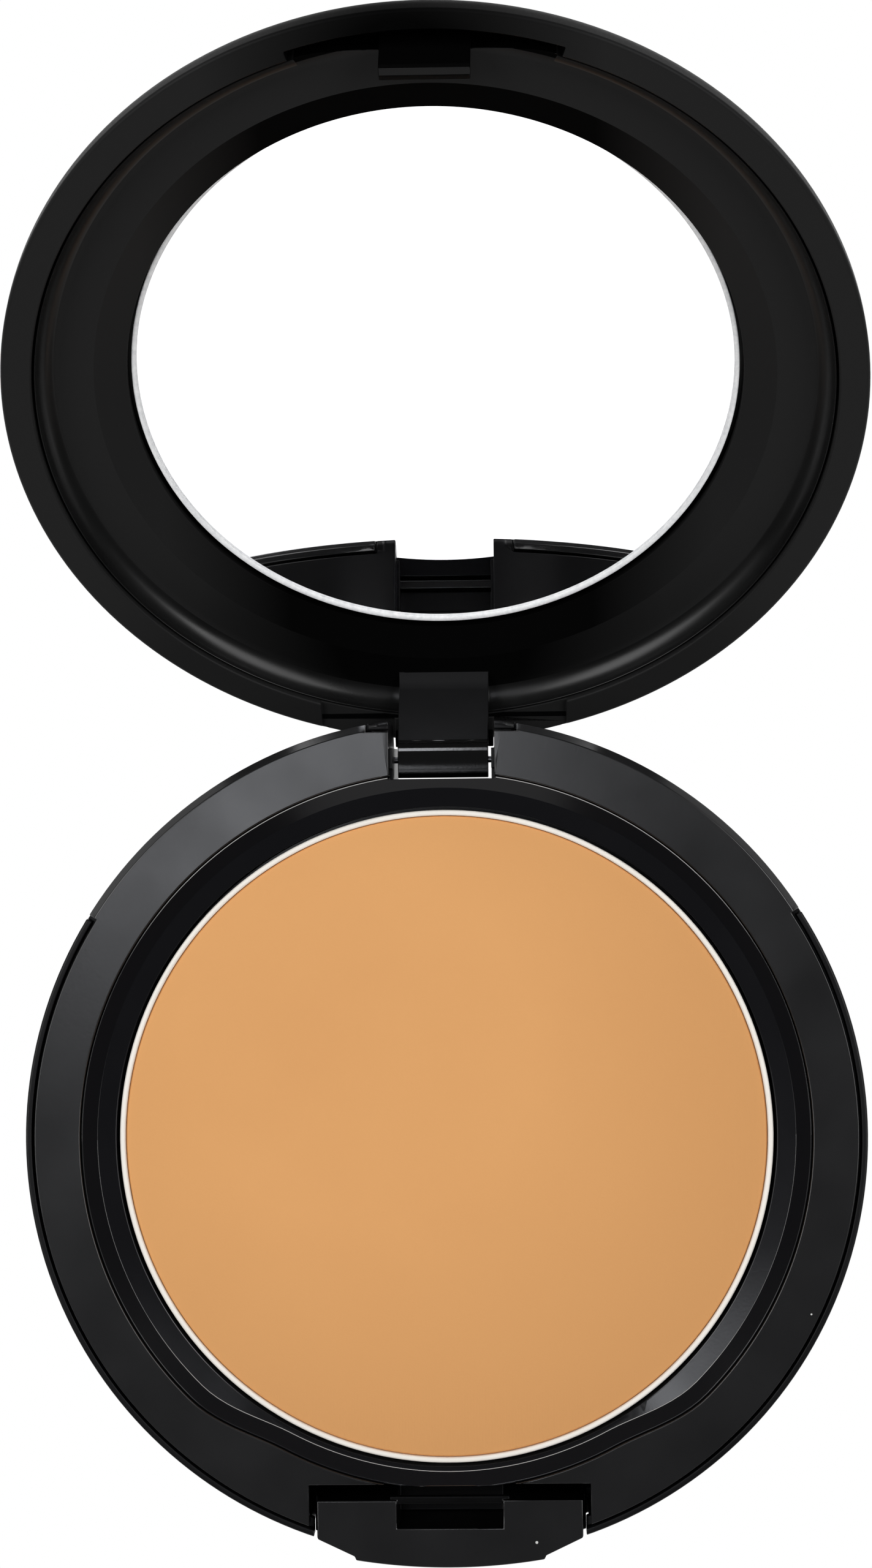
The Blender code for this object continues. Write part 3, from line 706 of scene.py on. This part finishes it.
def tab_end():
    """(y, z) outline of the tab's rounded end with the lid closed; drawn open, then turned back."""
    back_turn = math.radians(OPEN_ANGLE)
    outline = []
    for tilt in TAB_END_TILTS:
        lean = math.radians(tilt)
        outline.append((TAB_END_Y + TAB_END_R * math.sin(lean), TAB_END_Z + TAB_END_R * math.cos(lean)))
    outline += TAB_END_REST
    turned = []
    for y, z in outline:
        turned.append((AXIS_Y + y * math.cos(back_turn) - z * math.sin(back_turn),
                       AXIS_Z + y * math.sin(back_turn) + z * math.cos(back_turn)))
    return turned


def make_mirror_frame():
    face = lid_z(LINER_H)
    back = face + LINER_T
    cup_r = BEZEL_R + BEZEL_WALL
    seat = lid_z(BEZEL_SEAT_H)
    under = lid_z(BEZEL_TOP_H)
    outline = quarter((COVE_FROM, face - COVE_R), (COVE_R, COVE_R), 90, 0, 16)
    outline += rounded([(LINER_R, face - COVE_R), (LINER_R, face), (LINER_BACK_R, back), (cup_r, back),
                        (cup_r, under), (BEZEL_SEAT_R, under), (BEZEL_SEAT_R, seat, SEAT_ROUND),
                        (BEZEL_R, face, BEZEL_ROUND), (cup_r, face)])
    liner = lathe("mirror_frame", outline)

    # Recess between two posts for the button's shoulders, with the hook in the middle
    half = LATCH_HALF + POST_W
    cut(liner, block((-LATCH_HALF, LATCH_HALF), (-CUT_INNER, LATCH_EDGE), (0.0, CUT_INNER)))
    for side in (-1, 1):
        x = sorted((side * LATCH_HALF, side * half))
        join(liner, block(x, POST_Y, (face, face + POST_H)))
    root = (face + HOOK_ROOT[0], back)
    top = face + HOOK_ROOT[1]
    join(liner, block((-HOOK_HALF, HOOK_HALF), (HOOK_Y[0], LATCH_EDGE + BITE), root))
    hook = [(HOOK_Y[0], top), (HOOK_Y[0], HOOK_TIP_Z + HOOK_CHAMFER), (HOOK_Y[0] + HOOK_CHAMFER, HOOK_TIP_Z)]
    hook += [(HOOK_Y[1], HOOK_TIP_Z), (BARB_Y, BARB_TOP_Z - HOOK_CHAMFER), (BARB_Y, BARB_TOP_Z)]
    hook += [(HOOK_Y[1], BARB_TOP_Z), (HOOK_Y[1], top)]
    join(liner, slab("tool", hook, HOOK_HALF))

    # Tab that reaches down to the hinge pin
    front = AXIS_Y - TAB_FRONT
    root = face + TAB_ROOT
    low = AXIS_Z + TAB_LOW
    tab = rounded([(front, low), (AXIS_Y + TAB_BACK, low), (AXIS_Y + TAB_BACK, root),
                   (front - TAB_FLARE, root), (front - TAB_FLARE, face),
                   (front, face - TAB_FLARE, TAB_ROUND)])
    join(liner, slab("tool", tab, TAB_HALF), slab("tool", tab_end(), TAB_HALF))
    cut(liner, rod(TAB_HALF + OVER, PIN_HOLE_R))
    return liner


def lean(piece):
    """Set the glass a little crooked in its seat."""
    pivot = Vector((0.0, 0.0, lid_z(MIRROR_H)))
    back = Matrix.Translation(pivot + Vector((0.0, -MIRROR_SHIFT, MIRROR_SET_BACK)))
    turn = Matrix.Rotation(-math.radians(MIRROR_LEAN), 4, "X")
    piece.data.transform(back @ turn @ Matrix.Translation(-pivot))
    return piece


def make_mirror():
    """The silvered back of the glass, which is what the mirror shows."""
    front = lid_z(MIRROR_H) + SILVER_DEPTH
    back = front + SILVER_T
    return lean(lathe("mirror", [(0.0, front), (SILVER_R, front), (SILVER_R, back), (0.0, back)]))


def make_mirror_edge():
    """The ground edge of the glass round the silvering."""
    front = lid_z(MIRROR_H)
    back = front + SILVER_DEPTH + SILVER_T
    inner, outer = GLASS_BEVEL
    return lean(lathe("mirror_edge", rounded([
        (SILVER_R, front + inner), (MIRROR_R, front + outer, GLASS_ROUND),
        (MIRROR_R, back), (SILVER_R, back)])))


def make_mirror_glue():
    low, high = (lid_z(MIRROR_H) + depth for depth in MIRROR_GLUE_DEPTH)
    outline = [(0.0, low), (MIRROR_GLUE_R, low), (MIRROR_GLUE_R, high), (0.0, high)]
    return lean(lathe("mirror_glue", outline, SMALL_STEPS))


# ---------------------------------------------------------------- materials

def new_material(name, colour, roughness, metallic=0.0, specular=0.5):
    """A Principled material; returns it with its nodes, links and shader."""
    made = bpy.data.materials.new(name)
    made.use_nodes = True
    nodes = made.node_tree.nodes
    shader = nodes["Principled BSDF"]
    shader.inputs["Base Color"].default_value = (*colour, 1.0)
    shader.inputs["Roughness"].default_value = roughness
    shader.inputs["Metallic"].default_value = metallic
    shader.inputs["Specular IOR Level"].default_value = specular
    return made, nodes, made.node_tree.links, shader


def noise(nodes, links, scale, detail=3.0):
    """Noise in the piece's own coordinates; scale is features per metre."""
    place = nodes.new("ShaderNodeTexCoord")
    texture = nodes.new("ShaderNodeTexNoise")
    texture.inputs["Scale"].default_value = scale
    texture.inputs["Detail"].default_value = detail
    links.new(place.outputs["Object"], texture.inputs["Vector"])
    return texture


def spread(nodes, links, source, low, high, start=0.3, end=0.7):
    """Map a texture's middle range to the range low to high."""
    ranger = nodes.new("ShaderNodeMapRange")
    ranger.inputs["From Min"].default_value = start
    ranger.inputs["From Max"].default_value = end
    ranger.inputs["To Min"].default_value = low
    ranger.inputs["To Max"].default_value = high
    links.new(source, ranger.inputs["Value"])
    return ranger.outputs["Result"]


def bump(nodes, links, shader, height, depth):
    """Relief on a shader, with its depth in metres."""
    relief = nodes.new("ShaderNodeBump")
    relief.inputs["Strength"].default_value = 1.0
    relief.inputs["Distance"].default_value = depth
    links.new(height, relief.inputs["Height"])
    links.new(relief.outputs["Normal"], shader.inputs["Normal"])


def distance_to(nodes, links, point):
    """Distance in metres from a point given in millimetres, in the piece's own coordinates."""
    place = nodes.new("ShaderNodeTexCoord")
    measure = nodes.new("ShaderNodeVectorMath")
    measure.operation = "DISTANCE"
    measure.inputs[1].default_value = [value * MM for value in point]
    links.new(place.outputs["Object"], measure.inputs[0])
    return measure.outputs["Value"]


def mixed(nodes, links, share, first, second):
    """Mix two colours by a 0 to 1 value; either may be a colour or a socket."""
    mixer = nodes.new("ShaderNodeMix")
    mixer.data_type = "RGBA"
    links.new(share, mixer.inputs["Factor"])
    for socket, value in (("A", first), ("B", second)):
        target = next(entry for entry in mixer.inputs if entry.name == socket and entry.type == "RGBA")
        if isinstance(value, tuple):
            target.default_value = (*value, 1.0)
        else:
            links.new(value, target)
    return next(entry for entry in mixer.outputs if entry.type == "RGBA")


def plastic(name, colour, roughness, specular, grain=FINE_GRAIN, depth=FINE_RELIEF, dust=()):
    """Moulded black plastic: slightly uneven gloss, a very fine grain, and a few specks of dust."""
    made, nodes, links, shader = new_material(name, colour, roughness, specular=specular)
    patches = noise(nodes, links, PATCHES)
    links.new(spread(nodes, links, patches.outputs["Fac"], roughness * 0.85, roughness * 1.15),
              shader.inputs["Roughness"])
    shade = spread(nodes, links, patches.outputs["Fac"], 0.0, 1.0)
    tone = mixed(nodes, links, shade, tuple(0.93 * part for part in colour),
                 tuple(1.07 * part for part in colour))
    for x, y, z, radius in dust:
        near = spread(nodes, links, distance_to(nodes, links, (x, y, z)), 1.0, 0.0,
                      radius * MM * 0.6, radius * MM)
        tone = mixed(nodes, links, near, tone, (0.7, 0.7, 0.68))
    links.new(tone, shader.inputs["Base Color"])
    fine = noise(nodes, links, grain, 2.0)
    bump(nodes, links, shader, fine.outputs["Fac"], depth)
    return made


def metal(name, colour, roughness, metallic, grain, depth):
    """Metal with fine drawn lines and slightly uneven gloss."""
    made, nodes, links, shader = new_material(name, colour, roughness, metallic)
    patches = noise(nodes, links, 300.0)
    links.new(spread(nodes, links, patches.outputs["Fac"], roughness * 0.8, roughness * 1.2),
              shader.inputs["Roughness"])
    shade = spread(nodes, links, patches.outputs["Fac"], 0.0, 1.0)
    links.new(mixed(nodes, links, shade, tuple(0.95 * part for part in colour), colour),
              shader.inputs["Base Color"])
    lines = noise(nodes, links, grain)
    bump(nodes, links, shader, lines.outputs["Fac"], depth)
    return made


def ribs(nodes, links, pitch, zone, axis):
    """Fine parallel lines along Y, fading in across a zone along an axis (0 is X, 1 is Y)."""
    place = nodes.new("ShaderNodeTexCoord")
    parts = nodes.new("ShaderNodeSeparateXYZ")
    links.new(place.outputs["Object"], parts.inputs["Vector"])
    wave = nodes.new("ShaderNodeTexWave")
    wave.bands_direction = "X"
    wave.inputs["Scale"].default_value = WAVE_LENGTH / (pitch * MM)
    wave.inputs["Distortion"].default_value = 0.6
    wave.inputs["Detail"].default_value = 1.0
    wave.inputs["Detail Scale"].default_value = 0.3
    links.new(place.outputs["Object"], wave.inputs["Vector"])
    fade = spread(nodes, links, parts.outputs[axis], 0.0, 1.0, zone[0] * MM, zone[1] * MM)
    times = nodes.new("ShaderNodeMath")
    times.operation = "MULTIPLY"
    links.new(wave.outputs["Fac"], times.inputs[0])
    links.new(fade, times.inputs[1])
    return times.outputs["Value"]


def add_up(nodes, links, first, second, share=1.0):
    """The first value plus a share of the second."""
    total = nodes.new("ShaderNodeMath")
    total.operation = "MULTIPLY_ADD"
    total.inputs[1].default_value = share
    links.new(second, total.inputs[0])
    links.new(first, total.inputs[2])
    return total.outputs["Value"]


def make_tray_material():
    """Gloss black of the tray, with a painted highlight: its reflections are strong at the front and weak
    from the sides to the hinge end.
    """
    made, nodes, links, shader = new_material("tray_gloss", (0.006, 0.006, 0.007), 0.18)
    place = nodes.new("ShaderNodeTexCoord")
    parts = nodes.new("ShaderNodeSeparateXYZ")
    links.new(place.outputs["Object"], parts.inputs["Vector"])
    # painted highlight: specular 0.5 at the front, 0.15 from the sides back
    links.new(spread(nodes, links, parts.outputs["Y"], 0.5, 0.15, -0.02, -0.01),
              shader.inputs["Specular IOR Level"])
    patches = noise(nodes, links, PATCHES)
    links.new(spread(nodes, links, patches.outputs["Fac"], 0.15, 0.21), shader.inputs["Roughness"])
    fine = noise(nodes, links, FINE_GRAIN, 2.0)
    bump(nodes, links, shader, fine.outputs["Fac"], FINE_RELIEF)
    return made


def make_rim_highlight_material():
    """Thin edge of the tray, with a painted highlight: bright at the hinge and at the front."""
    made, nodes, links, shader = new_material("rim_painted_highlight", (0.2, 0.2, 0.2), 0.3)
    place = nodes.new("ShaderNodeTexCoord")
    parts = nodes.new("ShaderNodeSeparateXYZ")
    links.new(place.outputs["Object"], parts.inputs["Vector"])
    along = nodes.new("ShaderNodeMath")
    along.operation = "ABSOLUTE"
    links.new(parts.outputs["Y"], along.inputs[0])
    # painted highlight: the edge turns from black to light grey towards the hinge and the front
    painted_highlight = spread(nodes, links, along.outputs["Value"], 0.0, 1.0, 0.016, 0.024)
    links.new(mixed(nodes, links, painted_highlight, (0.01, 0.01, 0.01), (0.42, 0.41, 0.4)),
              shader.inputs["Base Color"])
    fine = noise(nodes, links, 3000.0, 2.0)
    links.new(spread(nodes, links, fine.outputs["Fac"], 0.25, 0.35), shader.inputs["Roughness"])
    bump(nodes, links, shader, fine.outputs["Fac"], 4e-6)
    return made


def make_powder_material():
    """Pressed tan powder: smooth in the middle, with press lines towards its right and front rim, and
    painted shade away from its upper left.
    """
    made, nodes, links, shader = new_material("powder", (0.8, 0.402, 0.153), 0.9, specular=0.15)
    cloud = noise(nodes, links, 60.0, 4.0)
    shade = spread(nodes, links, cloud.outputs["Fac"], 0.0, 1.0)
    tone = mixed(nodes, links, shade, (0.785, 0.392, 0.149), (0.81, 0.41, 0.157))
    # painted shade: darker away from a point up and to the left of the middle, where the light falls off
    side = spread(nodes, links, distance_to(nodes, links, (-8.0, 8.0, 15.75)), 0.0, 1.0, 0.016, 0.04)
    tone = mixed(nodes, links, side, tone, (0.68, 0.338, 0.128))
    links.new(tone, shader.inputs["Base Color"])
    fine = noise(nodes, links, 5000.0, 4.0)
    right = ribs(nodes, links, 0.62, (23.0, 28.0), 0)
    front = ribs(nodes, links, 0.27, (-21.0, -27.0), 1)
    height = add_up(nodes, links, fine.outputs["Fac"], right, 0.9)
    height = add_up(nodes, links, height, front, 0.45)
    bump(nodes, links, shader, height, 2e-5)
    return made


def painted_shade_plastic(name, colour, roughness, specular, fade, point=None):
    """Black plastic with painted shade: its colour and gloss turn darker near a point, or near the middle of
    the width.

    fade holds the two distances in mm between which the painted shade gives way to the plain black.
    """
    made, nodes, links, shader = new_material(name, colour, roughness, specular=specular)
    if point:
        reach = distance_to(nodes, links, point)
    else:
        place = nodes.new("ShaderNodeTexCoord")
        parts = nodes.new("ShaderNodeSeparateXYZ")
        links.new(place.outputs["Object"], parts.inputs["Vector"])
        across = nodes.new("ShaderNodeMath")
        across.operation = "ABSOLUTE"
        links.new(parts.outputs["X"], across.inputs[0])
        reach = across.outputs["Value"]
    # painted shade: close to the point, or to the middle, the colour goes nearly black and the gloss fades
    # out
    share = spread(nodes, links, reach, 0.1, 1.0, fade[0] * MM, fade[1] * MM)
    links.new(mixed(nodes, links, share, (0.0004, 0.0004, 0.0004), colour), shader.inputs["Base Color"])
    gloss = nodes.new("ShaderNodeMath")
    gloss.operation = "MULTIPLY"
    gloss.inputs[1].default_value = specular
    links.new(share, gloss.inputs[0])
    links.new(gloss.outputs["Value"], shader.inputs["Specular IOR Level"])
    fine = noise(nodes, links, FINE_GRAIN, 2.0)
    links.new(spread(nodes, links, fine.outputs["Fac"], roughness * 0.9, roughness * 1.1),
              shader.inputs["Roughness"])
    bump(nodes, links, shader, fine.outputs["Fac"], FINE_RELIEF)
    return made


def make_mirror_material():
    """Silvered glass with the faintest film of dust and finger grease."""
    made, nodes, links, shader = new_material("mirror_silver", (0.97, 0.97, 0.975), 0.012, metallic=1.0)
    film = noise(nodes, links, 45.0, 5.0)
    links.new(spread(nodes, links, film.outputs["Fac"], 0.008, 0.03, 0.45, 0.75), shader.inputs["Roughness"])
    shade = spread(nodes, links, film.outputs["Fac"], 0.0, 1.0)
    links.new(mixed(nodes, links, shade, (0.975, 0.975, 0.98), (0.955, 0.955, 0.965)),
              shader.inputs["Base Color"])
    return made


def make_ground_glass():
    made, nodes, links, shader = new_material("ground_glass", (0.9, 0.9, 0.9), 0.45, specular=0.5)
    chips = noise(nodes, links, 2500.0, 3.0)
    shade = spread(nodes, links, chips.outputs["Fac"], 0.0, 1.0)
    links.new(mixed(nodes, links, shade, (0.8, 0.81, 0.82), (0.98, 0.98, 0.98)), shader.inputs["Base Color"])
    links.new(spread(nodes, links, chips.outputs["Fac"], 0.35, 0.6), shader.inputs["Roughness"])
    bump(nodes, links, shader, chips.outputs["Fac"], 1e-5)
    return made


def make_foam_material():
    """Fine latex foam: small open cells over a soft uneven skin."""
    made, nodes, links, shader = new_material("foam_latex", (0.85, 0.74, 0.6), 0.95, specular=0.1)
    place = nodes.new("ShaderNodeTexCoord")
    cells = nodes.new("ShaderNodeTexVoronoi")
    cells.inputs["Scale"].default_value = 2200.0
    links.new(place.outputs["Object"], cells.inputs["Vector"])
    soft = noise(nodes, links, 200.0, 4.0)
    shade = spread(nodes, links, cells.outputs["Distance"], 0.0, 1.0, 0.0, 0.6)
    links.new(mixed(nodes, links, shade, (0.74, 0.62, 0.48), (0.88, 0.78, 0.64)),
              shader.inputs["Base Color"])
    links.new(spread(nodes, links, soft.outputs["Fac"], 0.88, 1.0), shader.inputs["Roughness"])
    height = add_up(nodes, links, cells.outputs["Distance"], soft.outputs["Fac"], 0.8)
    bump(nodes, links, shader, height, 1.2e-4)
    return made


def make_glue_material():
    made, nodes, links, shader = new_material("set_glue", (0.75, 0.74, 0.7), 0.35, specular=0.5)
    shader.inputs["Transmission Weight"].default_value = 0.3
    blobs = noise(nodes, links, 500.0, 3.0)
    shade = spread(nodes, links, blobs.outputs["Fac"], 0.0, 1.0)
    links.new(mixed(nodes, links, shade, (0.68, 0.66, 0.6), (0.8, 0.79, 0.75)), shader.inputs["Base Color"])
    links.new(spread(nodes, links, blobs.outputs["Fac"], 0.25, 0.45), shader.inputs["Roughness"])
    bump(nodes, links, shader, blobs.outputs["Fac"], 1e-4)
    return made


# ---------------------------------------------------------------- stage

def emitter(name, colour, strength):
    made = bpy.data.materials.new(name)
    made.use_nodes = True
    nodes = made.node_tree.nodes
    nodes.clear()
    glow = nodes.new("ShaderNodeEmission")
    glow.inputs["Color"].default_value = (*colour, 1.0)
    glow.inputs["Strength"].default_value = strength
    output = nodes.new("ShaderNodeOutputMaterial")
    made.node_tree.links.new(glow.outputs["Emission"], output.inputs["Surface"])
    return made


def make_floor():
    size = 4.0
    shape = bmesh.new()
    bmesh.ops.create_grid(shape, x_segments=1, y_segments=1, size=size)
    mesh = bpy.data.meshes.new("floor")
    shape.to_mesh(mesh)
    shape.free()
    floor = bpy.data.objects.new("floor", mesh)
    floor.location.z = -0.0002
    mesh.materials.append(emitter("floor_white", (1.0, 1.0, 1.0), 1.0))
    bpy.context.scene.collection.objects.link(floor)


def panel(name, towards, distance, size, radiance, colour=(1.0, 1.0, 1.0), aim=(0.0, 0.03, 0.02)):
    """A rectangular soft light seen from the compact in a direction; size is (across, up) in metres."""
    lamp = bpy.data.lights.new(name, "AREA")
    lamp.shape = "RECTANGLE"
    lamp.size, lamp.size_y = size
    lamp.energy = radiance * math.pi * size[0] * size[1]
    lamp.color = colour
    made = bpy.data.objects.new(name, lamp)
    way = Vector(towards).normalized()
    made.location = Vector(aim) + way * distance
    made.rotation_euler = way.to_track_quat("Z", "Y").to_euler()
    bpy.context.scene.collection.objects.link(made)
    return made


def direction(azimuth, elevation):
    """Unit vector; azimuth in degrees from +Y towards +X."""
    a, e = math.radians(azimuth), math.radians(elevation)
    return (math.sin(a) * math.cos(e), math.cos(a) * math.cos(e), math.sin(e))


def make_lights():
    panel("card_front", direction(180, 14), 1.2, (0.8, 0.6), 1.15)
    panel("soft_left", direction(-80, 50), 1.0, (0.7, 0.5), 5.0)
    panel("soft_right", direction(80, 50), 1.0, (0.7, 0.5), 4.9)
    top = panel("top_box", (0.0, 0.0, 1.0), 0.9, (0.14, 0.36), 4.5, (0.93, 0.95, 1.0))
    top.location = (-0.083, 0.14, 0.91)
    top.rotation_euler = (0.0, 0.0, 0.0)


def make_world():
    """White to the camera, and a dim even fill for the light that falls on the compact."""
    world = bpy.data.worlds.new("studio")
    world.use_nodes = True
    nodes = world.node_tree.nodes
    links = world.node_tree.links
    nodes.clear()
    white = nodes.new("ShaderNodeBackground")
    white.inputs["Color"].default_value = (1.0, 1.0, 1.0, 1.0)
    fill = nodes.new("ShaderNodeBackground")
    fill.inputs["Color"].default_value = (1.0, 1.0, 1.0, 1.0)
    fill.inputs["Strength"].default_value = 0.05
    seen = nodes.new("ShaderNodeLightPath")
    choose = nodes.new("ShaderNodeMixShader")
    output = nodes.new("ShaderNodeOutputWorld")
    links.new(seen.outputs["Is Camera Ray"], choose.inputs["Fac"])
    links.new(fill.outputs["Background"], choose.inputs[1])
    links.new(white.outputs["Background"], choose.inputs[2])
    links.new(choose.outputs["Shader"], output.inputs["Surface"])
    bpy.context.scene.world = world


def make_camera():
    lens = bpy.data.cameras.new("camera")
    lens.sensor_width = 36.0
    lens.lens = 80.638
    lens.clip_start = 0.01
    camera = bpy.data.objects.new("camera", lens)
    camera.location = (0.007496, 0.0338, DECK_Z * MM + 0.31621)
    camera.rotation_euler = [math.radians(turn) for turn in (-0.3496, 1.4442, -0.6608)]
    bpy.context.scene.collection.objects.link(camera)
    bpy.context.scene.camera = camera


# ---------------------------------------------------------------- scene

# Faces inside the lid's shell and its latch recess, which get painted shade
def inside_lid_cover(centre, normal):
    r = math.hypot(centre.x, centre.y)
    latch = abs(centre.x) < LATCH_HALF + POST_W and centre.y < 0.0 and r < LATCH_REACH_R + NEAR
    return (r < LID_BAND_R - NEAR or latch) and centre.z > DECK_Z + GAP


# The bezel's slope and seat and the latch recess's walls, which get the bezel black with painted shade
def inside_mirror_frame(centre, normal):
    r = math.hypot(centre.x, centre.y)
    latch = abs(centre.x) < LATCH_HALF and centre.y < LATCH_DEEP_Y and normal.z > -0.9
    return r < BEZEL_R + 0.05 and normal.z > -0.99 or latch


def lid_cove(centre, normal):
    r = math.hypot(centre.x, centre.y)
    return r > COVE_FROM and -0.97 < normal.z and (abs(centre.x) > LATCH_HALF or centre.y > 0.0)


def tab_face(centre, normal):
    return centre.z < DECK_Z + LINER_H - 0.02 and abs(centre.x) < TAB_HALF + NEAR and centre.y > TAB_AHEAD_Y


def tab_round(centre, normal):
    """The part of the tab's round that looks up or back when the lid is open."""
    opened = lid_turn().to_3x3() @ normal
    return centre.z < AXIS_Z + TAB_ROUND_H and abs(centre.x) < TAB_HALF + NEAR and opened.y > -0.15


# The rest of the tab's end, facing down or forward when open: painted shade
def tab_under(centre, normal):
    end = centre.z < AXIS_Z + TAB_ROUND_H and abs(centre.x) < TAB_HALF + NEAR
    return end and not tab_round(centre, normal)


def rim_painted_highlight(centre, normal):
    """The tray's top edge at the rear, and the foot of its wall at the front, where highlight lines are
    painted.
    """
    top = centre.y > 0.0 and centre.z > TRAY_EDGE_Z - 0.12 and math.hypot(centre.x, centre.y) > LEDGE_R[1]
    foot = centre.y < 0.0 and LEDGE_Z[1] < centre.z < LEDGE_Z[1] + 0.15 and 0.1 < normal.z < 0.99
    return top or foot


# The button's faces below its top, from the pocket's front back, which get painted shade
def inside_button(centre, normal):
    return centre.z < DECK_Z - 0.15 and centre.y > POCKET_FRONT - NEAR


def build():
    bpy.context.scene.view_settings.view_transform = "Standard"
    grey = (0.0145, 0.0145, 0.0145)
    case = plastic("case_gloss", (0.006, 0.006, 0.0065), 0.35, 0.15)
    satin = plastic("deck_satin", (0.0115, 0.0115, 0.012), 0.2, 0.5,
                    dust=[(-37.0, -5.85, 17.4, 0.13), (32.7, -16.1, 17.6, 0.1)])
    button_satin = plastic("button_satin", (0.0115, 0.0115, 0.012), 0.2, 0.5,
                           dust=[(7.8, -36.5, 17.55, 0.15)])
    # Painted shade: the cover darker at the top of the open lid, the ring darker near the hinge as shade and
    # a dark reflection of the base, the bezel darker at the middle of its width
    cover = painted_shade_plastic("cover_painted_shade", grey, 0.42, 0.06, (5.0, 17.0), (-2.0, 89.0, 49.0))
    ring = painted_shade_plastic("lid_painted_shade", grey, 0.42, 0.06, (9.0, 22.0), (-1.0, 46.0, 6.0))
    bezel = painted_shade_plastic("bezel_painted_shade", grey, 0.42, 0.06, (14.0, 25.0))
    cove = plastic("cove_gloss", (0.005, 0.005, 0.005), 0.32, 0.3)
    tab = plastic("tab_satin", (0.0105, 0.0105, 0.011), 0.42, 0.06)
    knuckle = plastic("knuckle_gloss", (0.0015, 0.0015, 0.0016), 0.1, 1.0)
    # Painted shade: a near-black copy of the plastic for the lid's inside, the button's pocket and the
    # underside of the tab's end
    painted_shade_black = plastic("black_painted_shade", (0.0012, 0.0012, 0.0013), 0.35, 0.12)
    tray_gloss = make_tray_material()
    tin = metal("pan_tin", (1.0, 0.95, 0.87), 0.4, 0.0, 3000.0, 4e-6)
    steel = metal("spring_steel", (0.2, 0.2, 0.21), 0.3, 1.0, 2000.0, 4e-6)
    paper = plastic("label_film", (0.03, 0.03, 0.031), 0.5, 0.4, 1500.0, 1e-5)
    glue = make_glue_material()

    finish_piece(make_base_case(), "base", "base_shell", case, 0.1)
    finish_piece(make_deck(), "base", "inner_frame", satin, 0.08)
    finish_piece(make_tray(), "base", "powder_tray", tray_gloss, 0.06,
                 [(make_rim_highlight_material(), rim_painted_highlight)])
    finish_piece(make_pan(), "base", "powder_pan", tin)
    finish_piece(make_powder(), "base", "pressed_powder", make_powder_material())
    finish_piece(make_pan_glue(), "base", "pan_adhesive", glue)
    finish_piece(make_pin(), "base", "hinge_pin", steel)
    spring = finish_piece(make_spring(), "base", "button_spring", steel)
    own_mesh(spring)
    finish_piece(make_label(), "base", "base_label", paper)
    pad = finish_piece(make_sponge(), "base", "sponge_applicator", make_foam_material())
    finish_piece(make_button(), "button", "release_button", button_satin, 0.12,
                 [(painted_shade_black, inside_button)])
    finish_piece(make_lid_cover(), "lid", "lid_shell", cover, 0.1, [(painted_shade_black, inside_lid_cover)])
    finish_piece(make_mirror_frame(), "lid", "lid_liner", ring, 0.08,
                 [(cove, lid_cove), (bezel, inside_mirror_frame), (tab, tab_face), (knuckle, tab_round),
                  (painted_shade_black, tab_under)])
    finish_piece(make_mirror(), "lid", "mirror_glass", make_mirror_material())
    finish_piece(make_mirror_edge(), "lid", "mirror_glass", make_ground_glass())
    finish_piece(make_mirror_glue(), "lid", "mirror_adhesive", glue)

    make_floor()
    make_lights()
    make_world()
    make_camera()


build()
